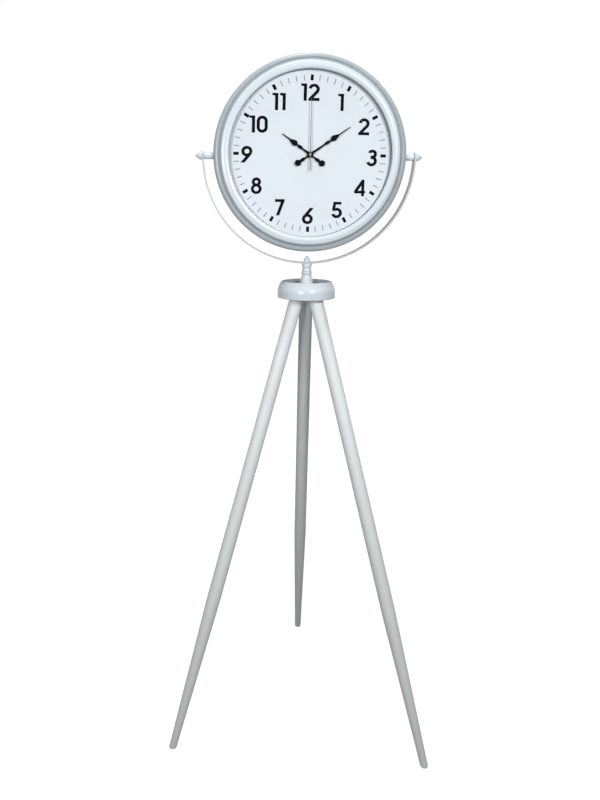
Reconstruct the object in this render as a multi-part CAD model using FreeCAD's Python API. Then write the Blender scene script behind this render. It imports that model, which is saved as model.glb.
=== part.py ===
import FreeCAD, Part
import math
import os

# Tripod floor clock, in millimetres.
# Z is up and the floor is Z = 0. The dial looks along -Y.
# Shapes are built around the spindle's axis and moved at the end, so that the origin is on the
# floor in the middle of the object's bounding box.

# Running and fixed fits
RUNNING_CLEARANCE = 0.05
PUSH_CLEARANCE = 0.02
THREAD_CLEARANCE = 0.05
BOLT_CLEARANCE = 0.1
SOCKET_CLEARANCE = 0.2
SEAT_GAP = 0.15

# Legs
LEG_DIA = 29.5
LEG_FOOT_DIA = 16.0
LEG_TAPER_LENGTH = 339.0
LEG_SOCKET_DEPTH = 12.0
LEG_HUB_RADIUS = 23.0
FOOT_RADIUS = 314.0
FOOT_EDGE = 2.0
TRIPOD_TURN = -7.0
LEG_STUD_DIA = 8.0
LEG_STUD_IN_LEG = 30.0
LEG_INSERT_DIA = 11.0
LEG_INSERT_LENGTH = 10.0
STUD_END_GAP = 1.0

# Hub
HUB_BASE = 984.0
HUB_DIA = 123.8
HUB_HEIGHT = 35.4
HUB_TOP_DIA = 97.0
HUB_RIM_ROUND = 2.0
HUB_SIDE_HEIGHT = 12.0
HUB_SHOULDER_BULGE = 0.66
HUB_SHOULDER_LEVEL = 0.61
HUB_CREST_WIDTH = 5.4
HUB_CREST_DROP = 2.2
HUB_CREST_BULGE = 0.55
HUB_CREST_LEVEL = 0.12
HUB_DISH_DEPTH = 4.4
HUB_SEAT_DIA = 40.0
HUB_INSERT_DIA = 12.0
HUB_INSERT_DEPTH = 18.0

# Spindle, a turned post with a flared foot, a ring, a neck and a collar, parted by grooves
STUD_DIA = 8.0
SPINDLE_HEIGHT = 42.0
SPINDLE_HOLE_CLEARANCE = 0.2
SPINDLE_BASE_DIA = 28.4
SPINDLE_BASE_HEIGHT = 8.0
SPINDLE_FLARE_DIA = 25.0
SPINDLE_FLARE_TOP_DIA = 20.6
SPINDLE_FLARE_HEIGHT = 11.5
SPINDLE_RING_DIA = 22.2
SPINDLE_RING_HEIGHT = 5.5
SPINDLE_NECK_FOOT_DIA = 20.0
SPINDLE_NECK_DIA = 18.0
SPINDLE_COLLAR_DIA = 20.0
SPINDLE_COLLAR_HEIGHT = 7.5
SPINDLE_GROOVE_WIDTH = 0.9
SPINDLE_GROOVE_DEPTH = 0.8
SPINDLE_EDGE = 1.2

# Finials
SPINDLE_FINIAL_DIA = 13.6
SPINDLE_FINIAL_HEIGHT = 13.1
SPINDLE_FINIAL_BELLY_DIA = 10.6
SPINDLE_FINIAL_THREAD = 7.4
PIVOT_FINIAL_DIA = 16.5
PIVOT_FINIAL_HEIGHT = 14.0
PIVOT_FINIAL_BELLY_DIA = 12.8
PIVOT_FINIAL_THREAD = 8.0
FINIAL_TIP_DIA = 2.4
FINIAL_RIM = 2.2
FINIAL_BELLY_LEVEL = 0.45

# Yoke, a flat bar bent to a half ring with straight round-ended tabs
YOKE_GAP = 20.0
YOKE_THICK = 3.0
YOKE_WIDTH = 20.0

# Pivots
PIVOT_DROP = 3.2
PIVOT_BOLT_DIA = 6.0
PIVOT_POST_DIA = 14.0
PIVOT_POST_EDGE = 1.0
PIVOT_HEAD_FLATS = 10.0
PIVOT_HEAD_THICK = 4.0
PIVOT_BLOCK_WIDTH = 18.0
PIVOT_BLOCK_HEIGHT = 40.0
PIVOT_BLOCK_THICK = 7.8

# Bezel: distances along Y are ahead of the pivot axis when positive
CLOCK_DIA = 400.0
BEZEL_FRONT = 27.0
RIM_WIDTH = 15.3
RING_WIDTH = 15.0
LIP_SETBACK = 1.4
RING_EDGE_SETBACK = 2.4
RING_EDGE_ROUND = 1.0
WALL_TAPER = 1.2
BEZEL_WALL = 1.8
GROOVE_DEPTH = 8.5
GROOVE_WIDTH = 0.8
GROOVE_SLOPE = 5.0
BEAD_STEP = 1.8
BEAD_RISE = 2.4
BEAD_UNDER = 5.0
BEAD_HOLLOW = 2.5
SKIRT_WALL = 1.6
SKIRT_LENGTH = 10.7
SKIRT_ROOM = 2.0
SKIRT_SLOT_CLEARANCE = 0.5
SLEEVE_WALL = 1.8
SLEEVE_END_GAP = 2.0

# Case band and back cover
BAND_INSET = 7.0
BAND_WALL = 1.2
BAND_FRONT = 9.0
DRUM_BACK = 32.2
BACK_THICK = 1.2
ACCESS_HOLE_DIA = 110.0
BEZEL_SCREW_COUNT = 4
BEZEL_SCREW_DIA = 3.0
BEZEL_SCREW_HEAD_DIA = 6.0
BEZEL_SCREW_HEAD = 2.0
BEZEL_SCREW_LENGTH = 8.0
BEZEL_SCREW_SETBACK = 3.0

# Glass, spacer ring and dial
GLASS_THICK = 2.0
GLASS_LEDGE = 4.0
GLASS_EDGE_GAP = 0.4
DIAL_RECESS = 18.0
DIAL_OPENING_INSET = 1.7
DIAL_SHEET_THICK = 0.4
DIAL_SHEET_OVERLAP = 4.0
DIAL_BOARD_THICK = 3.0
DIAL_BOARD_OVERLAP = 6.0
FOOT_PILLAR_DIA = 10.0
PILLAR_INSET = 33.0
PILLAR_COUNT = 4
CASE_SCREW_DIA = 4.0
CASE_SCREW_HEAD_DIA = 8.0
CASE_SCREW_HEAD = 2.4
CASE_SCREW_LENGTH = 10.0
SCREW_SLOT_WIDTH = 1.0
SCREW_SLOT_DEPTH = 0.9
SCREW_HEAD_ROUND = 0.7

# Movement case
MOVEMENT_WIDTH = 56.0
MOVEMENT_TOP = 26.0
MOVEMENT_BOTTOM = 30.0
MOVEMENT_WALL = 1.5
MOVEMENT_DEPTH = 12.5
PARTITION_TOP = 11.5
PARTITION_WALL = 1.2
BUSHING_DIA = 8.0
BUSHING_SPARE = 0.8
RUBBER_THICK = 1.0
RUBBER_DIA = 20.0
BRASS_WASHER_DIA = 14.0
BRASS_WASHER_THICK = 0.5
WASHER_CLEARANCE = 0.15
NUT_FLATS = 11.0
NUT_THICK = 2.0
DIAL_HOLE_CLEARANCE = 0.2

# Battery and its contacts
BATTERY_DIA = 14.2
BATTERY_BODY = 48.5
BATTERY_NUB_DIA = 5.2
BATTERY_NUB = 1.2
BATTERY_DROP = 20.3
BATTERY_SEAT_GAP = 0.3
CONTACT_WIDTH = 9.0
CONTACT_THICK = 0.4
CONTACT_BUTTON_DIA = 4.0

# Wheel train: tooth numbers, axis distances and levels behind the front shell's inside face
ROTOR_TEETH = 8
FIFTH_TEETH = 48
FIFTH_PINION_TEETH = 10
SECOND_TEETH = 50
SECOND_PINION_TEETH = 8
THIRD_TEETH = 60
THIRD_PINION_TEETH = 8
CENTRE_TEETH = 64
CANNON_TEETH = 12
MOTION_TEETH = 36
MOTION_PINION_TEETH = 12
HOUR_TEETH = 48
KNOB_TEETH = 12
THIRD_DISTANCE = 12.0
FIFTH_DISTANCE = 12.6
ROTOR_DISTANCE = 8.4
MOTION_DISTANCE = 9.6
THIRD_ANGLE = 180.0
FIFTH_ANGLE = 0.0
ROTOR_ANGLE = 90.0
MOTION_ANGLE = 90.0
KNOB_ANGLE = 150.0
HOUR_LEVEL = 0.6
MOTION_LEVEL = 2.2
CENTRE_LEVEL = 4.0
THIRD_LEVEL = 5.7
SECOND_LEVEL = 7.5
FIFTH_LEVEL = 9.3
WHEEL_THICK = 0.9
PINION_MARGIN = 0.2
TOOTH_ADDENDUM = 0.8
TOOTH_DEDENDUM = 1.1
TOOTH_PITCH_SHARE = 0.42
TOOTH_TIP_SHARE = 0.22
TOOTH_ROOT_SHARE = 0.58
ARBOR_DIA = 1.2
PIVOT_DIA = 0.8
PIVOT_LENGTH = 0.7
PIVOT_HOLE_DEPTH = 0.9
MOTION_STUD_DIA = 1.8
MOTION_STUD_SPARE = 0.3
MAGNET_DIA = 5.0
MAGNET_LENGTH = 2.0

# Hand pipes, from the outside in, and the planes of the hands in front of the dial
HOUR_PIPE_DIA = 5.0
HOUR_PIPE_BORE = 3.5
MINUTE_PIPE_BORE = 1.5
HOUR_HAND_STANDOFF = 4.6
HAND_STEP = 2.0
HAND_THICK = 0.5
PIPE_SPARE = 0.5
SECOND_BOSS_DIA = 4.6
SECOND_BOSS_LENGTH = 1.0

# Setting knob
KNOB_DIA = 12.0
KNOB_LENGTH = 5.0
KNOB_GAP = 0.5
KNOB_ARBOR_DIA = 2.6
KNOB_FLATS = 12

# Motor and circuit
STATOR_LEVEL = 5.5
STATOR_THICK = 1.0
STATOR_BOSS_DIA = 8.8
STATOR_BORE_DIA = 6.0
STATOR_BAR = 2.0
STATOR_TOP = 20.0
STATOR_BOTTOM = -8.0
STATOR_SIDE = 16.6
COIL_OFFSET = 22.0
COIL_DIA = 7.0
COIL_MARGIN = 2.5
COIL_BAR = 3.0
STATOR_POST_DIA = 2.4
BOARD_LEFT = -26.0
BOARD_BOTTOM = 12.0
BOARD_SIZE = 12.0
BOARD_THICK = 1.2
BOARD_LEVEL = 9.0
BOARD_POST_DIA = 3.0
BOARD_POST_INSET = 2.2

# Hands: lengths from the pin, and widths
MINUTE_LENGTH = 99.0
MINUTE_SPADE_AT = 58.0
MINUTE_NECK = 3.0
HOUR_LENGTH = 71.5
HOUR_SPADE_AT = 39.5
HOUR_NECK = 1.2
SPADE_WIDTH = 12.4
SPADE_BACK = 6.5
SPADE_FRONT = 12.5
SPADE_BACK_FULLNESS = 0.84
SPADE_FRONT_FULLNESS = 0.8
KNOT_WIDTH = 6.8
KNOT_LENGTH = 12.0
STEM_WIDTH = 3.4
STEM_ROOT_WIDTH = 5.6
NEEDLE_WIDTH = 3.0
NEEDLE_TIP_WIDTH = 1.6
TAIL_AT = 30.5
TAIL_BALL_DIA = 12.8
TAIL_KNOT_AT = 19.0
HAND_EYE_DIA = 13.0
SECOND_LENGTH = 111.0
SECOND_TAIL = 32.5
SECOND_WIDTH = 1.8
SECOND_TIP_WIDTH = 1.1
SECOND_EYE_DIA = 6.0
MINUTE_HAND_ANGLE = 55.7
HOUR_HAND_ANGLE = 305.4
SECOND_HAND_ANGLE = 0.0

# Worked-out places
X_AXIS = FreeCAD.Vector(1, 0, 0)
Y_AXIS = FreeCAD.Vector(0, 1, 0)
Z_AXIS = FreeCAD.Vector(0, 0, 1)
FLOOR = FreeCAD.Vector(0, 0, 0)
LEG_NAMES = ["leg_front_left", "leg_front_right", "leg_back"]
LEG_ANGLES = [210.0 + TRIPOD_TURN, 330.0 + TRIPOD_TURN, 90.0 + TRIPOD_TURN]
RING_OUTER_DIA = CLOCK_DIA - 2 * RIM_WIDTH
LIP_DIA = RING_OUTER_DIA - 2 * RING_WIDTH
DIAL_OPENING_DIA = LIP_DIA - 2 * DIAL_OPENING_INSET
DIAL_SHEET_DIA = DIAL_OPENING_DIA + 2 * DIAL_SHEET_OVERLAP
DIAL_BOARD_DIA = DIAL_SHEET_DIA + 2 * DIAL_BOARD_OVERLAP
PILLAR_CIRCLE_DIA = DIAL_BOARD_DIA - 2 * PILLAR_INSET
YOKE_INNER_RADIUS = CLOCK_DIA / 2 + YOKE_GAP
HUB_SEAT = HUB_BASE + HUB_HEIGHT - HUB_DISH_DEPTH
SPINDLE_TOP = HUB_SEAT + SPINDLE_HEIGHT
PIVOT_HEIGHT = SPINDLE_TOP + YOKE_THICK + YOKE_INNER_RADIUS
HEAD_HEIGHT = PIVOT_HEIGHT + PIVOT_DROP
HEAD_CENTRE = FreeCAD.Vector(0, 0, HEAD_HEIGHT)
YOKE_OUTER_RADIUS = YOKE_INNER_RADIUS + YOKE_THICK
BAND_DIA = CLOCK_DIA - 2 * BAND_INSET
BAND_RADIUS = BAND_DIA / 2
BAND_INSIDE = BAND_RADIUS - BAND_WALL
PIVOT_BLOCK_INNER = BAND_INSIDE - PIVOT_BLOCK_THICK
LIP_BACK = -BEZEL_FRONT + LIP_SETBACK + GLASS_LEDGE
GLASS_FRONT = LIP_BACK
GLASS_BACK = GLASS_FRONT + GLASS_THICK
WALL_BACK_RADIUS = LIP_DIA / 2 - WALL_TAPER
SLEEVE_INSIDE = WALL_BACK_RADIUS + GLASS_LEDGE
DIAL_FACE = -BEZEL_FRONT + DIAL_RECESS
SHEET_BACK = DIAL_FACE + DIAL_SHEET_THICK
BOARD_BACK = SHEET_BACK + DIAL_BOARD_THICK
RUBBER_BACK = BOARD_BACK + RUBBER_THICK
TRAIN_FRONT = RUBBER_BACK + MOVEMENT_WALL
TRAIN_BACK = TRAIN_FRONT + MOVEMENT_DEPTH
REAR_FACE = TRAIN_BACK + MOVEMENT_WALL
COVER_INSIDE = DRUM_BACK - BACK_THICK
HOUR_PLANE = DIAL_FACE - HOUR_HAND_STANDOFF
MINUTE_PLANE = HOUR_PLANE - HAND_STEP
SECOND_PLANE = MINUTE_PLANE - HAND_STEP
MINUTE_PIPE_DIA = HOUR_PIPE_BORE - 2 * RUNNING_CLEARANCE
SECOND_ARBOR_DIA = MINUTE_PIPE_BORE - 2 * RUNNING_CLEARANCE


def axis_shift():
    """The spindle's place when the bounding box of the feet is centred on the origin."""
    left, right, back = [math.radians(angle) for angle in LEG_ANGLES]
    across = (math.cos(left) + math.cos(right)) / 2
    along = (math.sin(right) + math.sin(back)) / 2
    return FreeCAD.Vector(-FOOT_RADIUS * across, -FOOT_RADIUS * along, 0)


# General helpers

def closed_face(path, to_space):
    """A face from (a, b) points. A pair of points in one entry is an arc: through, then end."""
    edges = []
    here = path[0]
    for entry in path[1:] + path[:1]:
        if isinstance(entry[0], tuple):
            through, end = entry
            arc = Part.Arc(to_space(*here), to_space(*through), to_space(*end))
            edges.append(arc.toShape())
        else:
            end = entry
            edges.append(Part.makeLine(to_space(*here), to_space(*end)))
        here = end
    return Part.Face(Part.Wire(edges))


def turned_upright(path, base):
    """A body of revolution about the spindle's axis, from (radius, height) points."""
    face = closed_face(path, lambda r, h: FreeCAD.Vector(r, 0, base + h))
    return face.revolve(FLOOR, Z_AXIS, 360)


def turned_on_dial(path):
    """A body of revolution about the dial's axis, from (radius, y) points."""
    face = closed_face(path, lambda r, y: FreeCAD.Vector(r, y, HEAD_HEIGHT))
    return face.revolve(HEAD_CENTRE, Y_AXIS, 360)


def rod(dia, start, direction, length):
    return Part.makeCylinder(dia / 2, length, start, direction)


def dial_point(x, y, z):
    """A point from x and z measured from the dial's centre."""
    return FreeCAD.Vector(x, y, HEAD_HEIGHT + z)


def dial_rod(dia, y_start, y_end, x=0.0, z=0.0):
    return rod(dia, dial_point(x, y_start, z), Y_AXIS, y_end - y_start)


def dial_disc(dia, bore, y_start, y_end):
    return dial_rod(dia, y_start, y_end).cut(dial_rod(bore, y_start, y_end))


def dial_box(x_low, x_high, y_low, y_high, z_low, z_high):
    corner = dial_point(x_low, y_low, z_low)
    return Part.makeBox(x_high - x_low, y_high - y_low, z_high - z_low, corner)


def around(angle, distance):
    """x and z at a distance and an angle, counted from +X towards +Z."""
    turn = math.radians(angle)
    return distance * math.cos(turn), distance * math.sin(turn)


def flat_prism(points, y_start, thick):
    """A plate from (x, z) points about the dial's centre, from y_start backwards."""
    corners = [dial_point(x, y_start, z) for x, z in points]
    face = Part.Face(Part.makePolygon(corners + corners[:1]))
    return face.extrude(FreeCAD.Vector(0, thick, 0))


def hexagon(flats):
    reach = flats / math.sqrt(3)
    return [around(60.0 * corner, reach) for corner in range(6)]


def one_solid(shape):
    """The single solid of a shape, with split faces joined again."""
    joined = shape.removeSplitter()
    return joined.Solids[0]


# Stand

def leg_line():
    """The foot, the hub point and the direction of a leg that stands out along +X."""
    foot = FreeCAD.Vector(FOOT_RADIUS, 0, 0)
    top = FreeCAD.Vector(LEG_HUB_RADIUS, 0, HUB_BASE)
    direction = top - foot
    reach = direction.Length
    direction.normalize()
    return foot, top, direction, reach


def turned_about_spindle(shape, angle):
    copy = shape.copy()
    copy.rotate(FLOOR, Z_AXIS, angle)
    return copy


def leg():
    foot, top, direction, reach = leg_line()
    taper = LEG_TAPER_LENGTH
    below = LEG_FOOT_DIA
    slope = (LEG_DIA - LEG_FOOT_DIA) / 2 / taper
    toe_radius = LEG_FOOT_DIA / 2 - slope * below
    toe = foot - direction * below
    cone = Part.makeCone(toe_radius, LEG_DIA / 2, taper + below, toe, direction)
    knee = foot + direction * taper
    shaft = rod(LEG_DIA, knee, direction, reach - taper + LEG_SOCKET_DEPTH)
    ground = Part.makeBox(4 * below, 4 * below, 2 * below)
    ground.translate(FreeCAD.Vector(FOOT_RADIUS - 2 * below, -2 * below, -2 * below))
    body = cone.fuse(shaft).cut(ground).removeSplitter()
    sole = min(body.Faces, key=lambda face: face.CenterOfMass.z)
    body = body.makeFillet(FOOT_EDGE, sole.Edges)
    hole_start = top + direction * (LEG_SOCKET_DEPTH - LEG_STUD_IN_LEG - STUD_END_GAP)
    hole = rod(LEG_STUD_DIA + 2 * THREAD_CLEARANCE, hole_start, direction, reach)
    return one_solid(body.cut(hole))


def leg_stud():
    _, top, direction, _ = leg_line()
    start = top + direction * (LEG_SOCKET_DEPTH - LEG_STUD_IN_LEG)
    return rod(LEG_STUD_DIA, start, direction, LEG_STUD_IN_LEG + LEG_INSERT_LENGTH - STUD_END_GAP)


def leg_insert():
    _, top, direction, _ = leg_line()
    start = top + direction * LEG_SOCKET_DEPTH
    body = rod(LEG_INSERT_DIA, start, direction, LEG_INSERT_LENGTH)
    bore = rod(LEG_STUD_DIA + 2 * THREAD_CLEARANCE, start, direction, LEG_INSERT_LENGTH)
    return body.cut(bore)


def leg_socket():
    """What one leg and its insert take out of the hub."""
    _, top, direction, _ = leg_line()
    start = top - direction * LEG_DIA
    socket = rod(LEG_DIA + 2 * SOCKET_CLEARANCE, start, direction, LEG_DIA + LEG_SOCKET_DEPTH)
    bottom = top + direction * LEG_SOCKET_DEPTH
    pocket = rod(LEG_INSERT_DIA + 2 * THREAD_CLEARANCE, bottom, direction, LEG_INSERT_LENGTH)
    return socket.fuse(pocket)


def hub():
    radius = HUB_DIA / 2
    top_radius = HUB_TOP_DIA / 2
    seat_radius = HUB_SEAT_DIA / 2
    seat = HUB_HEIGHT - HUB_DISH_DEPTH
    rim = HUB_RIM_ROUND
    rim_mid = rim * (1 - math.sqrt(0.5))
    crest = (top_radius + HUB_CREST_WIDTH, HUB_HEIGHT - HUB_CREST_DROP)
    shoulder_mid = (
        crest[0] + (radius - crest[0]) * HUB_SHOULDER_BULGE,
        HUB_SIDE_HEIGHT + (crest[1] - HUB_SIDE_HEIGHT) * HUB_SHOULDER_LEVEL,
    )
    crest_mid = (
        top_radius + HUB_CREST_WIDTH * HUB_CREST_BULGE,
        HUB_HEIGHT - HUB_CREST_DROP * HUB_CREST_LEVEL,
    )
    dish_mid = ((top_radius + seat_radius) / 2, seat + HUB_DISH_DEPTH / 4)
    path = [
        (0, 0),
        (radius - rim, 0),
        ((radius - rim_mid, rim_mid), (radius, rim)),
        (radius, HUB_SIDE_HEIGHT),
        (shoulder_mid, crest),
        (crest_mid, (top_radius, HUB_HEIGHT)),
        (dish_mid, (seat_radius, seat)),
        (0, seat),
    ]
    body = turned_upright(path, HUB_BASE)
    for angle in LEG_ANGLES:
        body = body.cut(turned_about_spindle(leg_socket(), angle))
    pocket_start = FreeCAD.Vector(0, 0, HUB_SEAT - HUB_INSERT_DEPTH)
    pocket = rod(HUB_INSERT_DIA + 2 * THREAD_CLEARANCE, pocket_start, Z_AXIS, HUB_INSERT_DEPTH)
    return one_solid(body.cut(pocket))


def hub_insert():
    start = FreeCAD.Vector(0, 0, HUB_SEAT - HUB_INSERT_DEPTH)
    body = rod(HUB_INSERT_DIA, start, Z_AXIS, HUB_INSERT_DEPTH)
    return body.cut(rod(STUD_DIA + 2 * THREAD_CLEARANCE, start, Z_AXIS, HUB_INSERT_DEPTH))


def centre_stud():
    start = FreeCAD.Vector(0, 0, HUB_SEAT - HUB_INSERT_DEPTH + STUD_END_GAP)
    finial_base = SPINDLE_TOP + YOKE_THICK + SEAT_GAP
    end = finial_base + SPINDLE_FINIAL_THREAD - STUD_END_GAP
    return rod(STUD_DIA, start, Z_AXIS, end - start.z)


def spindle():
    hole = STUD_DIA / 2 + SPINDLE_HOLE_CLEARANCE
    base = SPINDLE_BASE_DIA / 2
    flare = SPINDLE_FLARE_DIA / 2
    flare_top = SPINDLE_FLARE_TOP_DIA / 2
    ring = SPINDLE_RING_DIA / 2
    neck_foot = SPINDLE_NECK_FOOT_DIA / 2
    neck = SPINDLE_NECK_DIA / 2
    collar = SPINDLE_COLLAR_DIA / 2
    base_top = SPINDLE_BASE_HEIGHT
    ring_start = base_top + SPINDLE_FLARE_HEIGHT
    ring_end = ring_start + SPINDLE_RING_HEIGHT
    collar_start = SPINDLE_HEIGHT - SPINDLE_COLLAR_HEIGHT
    groove = SPINDLE_GROOVE_WIDTH
    core = neck - SPINDLE_GROOVE_DEPTH
    edge = SPINDLE_EDGE
    hollow = (flare + 2 * flare_top) / 3
    waist = (neck_foot + 2 * neck) / 3
    path = [
        (hole, 0),
        (base, 0),
        (base, base_top - edge),
        (base - edge, base_top),
        (flare, base_top),
        ((hollow, base_top + SPINDLE_FLARE_HEIGHT / 2), (flare_top, ring_start - groove)),
        (core, ring_start - groove),
        (core, ring_start),
        (flare_top, ring_start),
        ((ring, (ring_start + ring_end) / 2), (flare_top, ring_end)),
        (core, ring_end),
        (core, ring_end + groove),
        (neck_foot, ring_end + groove),
        ((waist, (ring_end + collar_start) / 2), (neck, collar_start - groove)),
        (core, collar_start - groove),
        (core, collar_start),
        (collar, collar_start),
        ((collar + edge / 2, (collar_start + SPINDLE_HEIGHT) / 2), (collar, SPINDLE_HEIGHT)),
        (hole, SPINDLE_HEIGHT),
    ]
    return turned_upright(path, HUB_SEAT)


def finial_path(dia, height, belly_dia, bore, depth):
    """Half the section of a pointed finial: (radius, height) points from its open end."""
    radius = dia / 2
    tip = FINIAL_TIP_DIA / 2
    middle = FINIAL_RIM + (height - FINIAL_RIM) * FINIAL_BELLY_LEVEL
    return [
        (bore / 2, 0),
        (radius, 0),
        (radius, FINIAL_RIM),
        ((belly_dia / 2, middle), (tip, height)),
        (0, height),
        (0, depth),
        (bore / 2, depth),
    ]


def spindle_finial():
    bore = STUD_DIA + 2 * THREAD_CLEARANCE
    path = finial_path(
        SPINDLE_FINIAL_DIA, SPINDLE_FINIAL_HEIGHT, SPINDLE_FINIAL_BELLY_DIA, bore, SPINDLE_FINIAL_THREAD
    )
    return turned_upright(path, SPINDLE_TOP + YOKE_THICK + SEAT_GAP)


# Yoke and pivots

def yoke():
    inner = YOKE_INNER_RADIUS
    outer = YOKE_OUTER_RADIUS
    tab = YOKE_WIDTH / 2
    path = [
        (-outer, tab),
        (-outer, 0),
        ((0, -outer), (outer, 0)),
        (outer, tab),
        (inner, tab),
        (inner, 0),
        ((0, -inner), (-inner, 0)),
        (-inner, tab),
    ]
    face = closed_face(path, lambda x, z: FreeCAD.Vector(x, -YOKE_WIDTH / 2, PIVOT_HEIGHT + z))
    bar = face.extrude(FreeCAD.Vector(0, YOKE_WIDTH, 0))
    low = PIVOT_HEIGHT - 2 * outer
    keep = Part.makeBox(4 * outer, YOKE_WIDTH, 2 * outer)
    keep.translate(FreeCAD.Vector(-2 * outer, -YOKE_WIDTH / 2, low))
    ends = rod(YOKE_WIDTH, FreeCAD.Vector(-2 * outer, 0, PIVOT_HEIGHT), X_AXIS, 4 * outer)
    bar = bar.common(keep.fuse(ends))
    pivot_hole = rod(
        PIVOT_BOLT_DIA + 2 * RUNNING_CLEARANCE,
        FreeCAD.Vector(-2 * outer, 0, PIVOT_HEIGHT),
        X_AXIS,
        4 * outer,
    )
    stud_hole = rod(
        STUD_DIA + 2 * RUNNING_CLEARANCE,
        FreeCAD.Vector(0, 0, SPINDLE_TOP - YOKE_THICK),
        Z_AXIS,
        3 * YOKE_THICK,
    )
    return one_solid(bar.cut(pivot_hole).cut(stud_hole))


def on_side(path, side):
    """A body of revolution about the pivot axis, from (radius, distance outward) points."""
    centre = FreeCAD.Vector(0, 0, PIVOT_HEIGHT)
    face = closed_face(path, lambda r, x: FreeCAD.Vector(side * x, 0, PIVOT_HEIGHT + r))
    return face.revolve(centre, X_AXIS, 360)


def pivot_post(side):
    radius = PIVOT_POST_DIA / 2
    hole = PIVOT_BOLT_DIA / 2 + BOLT_CLEARANCE
    start = BAND_RADIUS + SEAT_GAP
    end = YOKE_INNER_RADIUS - SEAT_GAP
    edge = PIVOT_POST_EDGE
    path = [
        (hole, start),
        (radius, start),
        (radius, end - edge),
        (radius - edge, end),
        (hole, end),
    ]
    return on_side(path, side)


def pivot_finial(side):
    bore = PIVOT_BOLT_DIA + 2 * THREAD_CLEARANCE
    start = YOKE_OUTER_RADIUS + RUNNING_CLEARANCE
    section = finial_path(
        PIVOT_FINIAL_DIA, PIVOT_FINIAL_HEIGHT, PIVOT_FINIAL_BELLY_DIA, bore, PIVOT_FINIAL_THREAD
    )
    path = []
    for entry in section:
        if isinstance(entry[0], tuple):
            (r1, h1), (r2, h2) = entry
            path.append(((r1, start + h1), (r2, start + h2)))
        else:
            path.append((entry[0], start + entry[1]))
    return on_side(path, side)


def pivot_bolt(side):
    reach = PIVOT_HEAD_FLATS / math.sqrt(3)
    corners = []
    for corner in range(7):
        turn = math.radians(60 * corner)
        y = reach * math.cos(turn)
        z = PIVOT_HEIGHT + reach * math.sin(turn)
        corners.append(FreeCAD.Vector(side * PIVOT_BLOCK_INNER, y, z))
    head = Part.Face(Part.makePolygon(corners))
    head = head.extrude(FreeCAD.Vector(-side * PIVOT_HEAD_THICK, 0, 0))
    finial_base = YOKE_OUTER_RADIUS + RUNNING_CLEARANCE
    end = finial_base + PIVOT_FINIAL_THREAD - STUD_END_GAP
    inner = PIVOT_BLOCK_INNER - PIVOT_HEAD_THICK
    start = FreeCAD.Vector(side * inner, 0, PIVOT_HEIGHT)
    shank = rod(PIVOT_BOLT_DIA, start, X_AXIS * side, end - inner)
    return one_solid(head.fuse(shank))


def pivot_hole(side):
    start = FreeCAD.Vector(side * PIVOT_BLOCK_INNER, 0, PIVOT_HEIGHT)
    return rod(PIVOT_BOLT_DIA + 2 * BOLT_CLEARANCE, start, X_AXIS * side, YOKE_OUTER_RADIUS)


def pivot_block(side):
    outer = BAND_INSIDE - SEAT_GAP
    half_width = PIVOT_BLOCK_WIDTH / 2
    half_height = PIVOT_BLOCK_HEIGHT / 2
    low = min(side * PIVOT_BLOCK_INNER, side * BAND_RADIUS)
    corner = FreeCAD.Vector(low, -half_width, PIVOT_HEIGHT - half_height)
    reach = BAND_RADIUS - PIVOT_BLOCK_INNER
    box = Part.makeBox(reach, PIVOT_BLOCK_WIDTH, PIVOT_BLOCK_HEIGHT, corner)
    drum = dial_rod(2 * outer, -PIVOT_BLOCK_WIDTH, PIVOT_BLOCK_WIDTH)
    return one_solid(box.common(drum).cut(pivot_hole(side)))


# Case

def screw_slot(top, outward, dia):
    """What a straight slot takes out of a screw head whose end is at top and looks outward."""
    slot = Part.makeBox(dia, SCREW_SLOT_WIDTH, SCREW_SLOT_DEPTH)
    slot.translate(FreeCAD.Vector(-dia / 2, -SCREW_SLOT_WIDTH / 2, -SCREW_SLOT_DEPTH))
    turn = FreeCAD.Placement(top, FreeCAD.Rotation(Z_AXIS, outward))
    slot.Placement = turn.multiply(slot.Placement)
    return slot


def pan_screw(seat, outward, dia, length, head_dia, head_thick):
    """A screw with a rounded and slotted head that stands outward from its seat."""
    top = seat + outward * head_thick
    head = rod(head_dia, seat, outward, head_thick)
    rim = min(head.Edges, key=lambda edge: (edge.CenterOfMass - top).Length)
    head = head.makeFillet(SCREW_HEAD_ROUND, [rim])
    shank = rod(dia, seat - outward * length, outward, length)
    return one_solid(head.fuse(shank).cut(screw_slot(top, outward, head_dia)))


def bezel_screw_places():
    step = 360.0 / BEZEL_SCREW_COUNT
    return [step * (place + 0.5) for place in range(BEZEL_SCREW_COUNT)]


def bezel_screw_line(angle):
    across, up = around(angle, 1.0)
    return FreeCAD.Vector(across, 0, up)


def bezel_screw(angle):
    outward = bezel_screw_line(angle)
    reach = BAND_RADIUS + SEAT_GAP + SKIRT_WALL + RUNNING_CLEARANCE
    seat = dial_point(0, -BEZEL_SCREW_SETBACK, 0) + outward * reach
    return pan_screw(
        seat, outward, BEZEL_SCREW_DIA, BEZEL_SCREW_LENGTH, BEZEL_SCREW_HEAD_DIA, BEZEL_SCREW_HEAD
    )


def bezel_screw_hole(angle):
    outward = bezel_screw_line(angle)
    start = dial_point(0, -BEZEL_SCREW_SETBACK, 0) + outward * (BAND_INSIDE - BAND_WALL)
    return rod(BEZEL_SCREW_DIA + 2 * BOLT_CLEARANCE, start, outward, CLOCK_DIA)


def quarter_round(start, end, axial):
    """An arc entry from start to end. It sets out along the axis where axial is true, or else across it."""
    late = math.sqrt(0.5)
    early = 1 - late
    across, along = (early, late) if axial else (late, early)
    through = (start[0] + (end[0] - start[0]) * across, start[1] + (end[1] - start[1]) * along)
    return through, end


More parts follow.
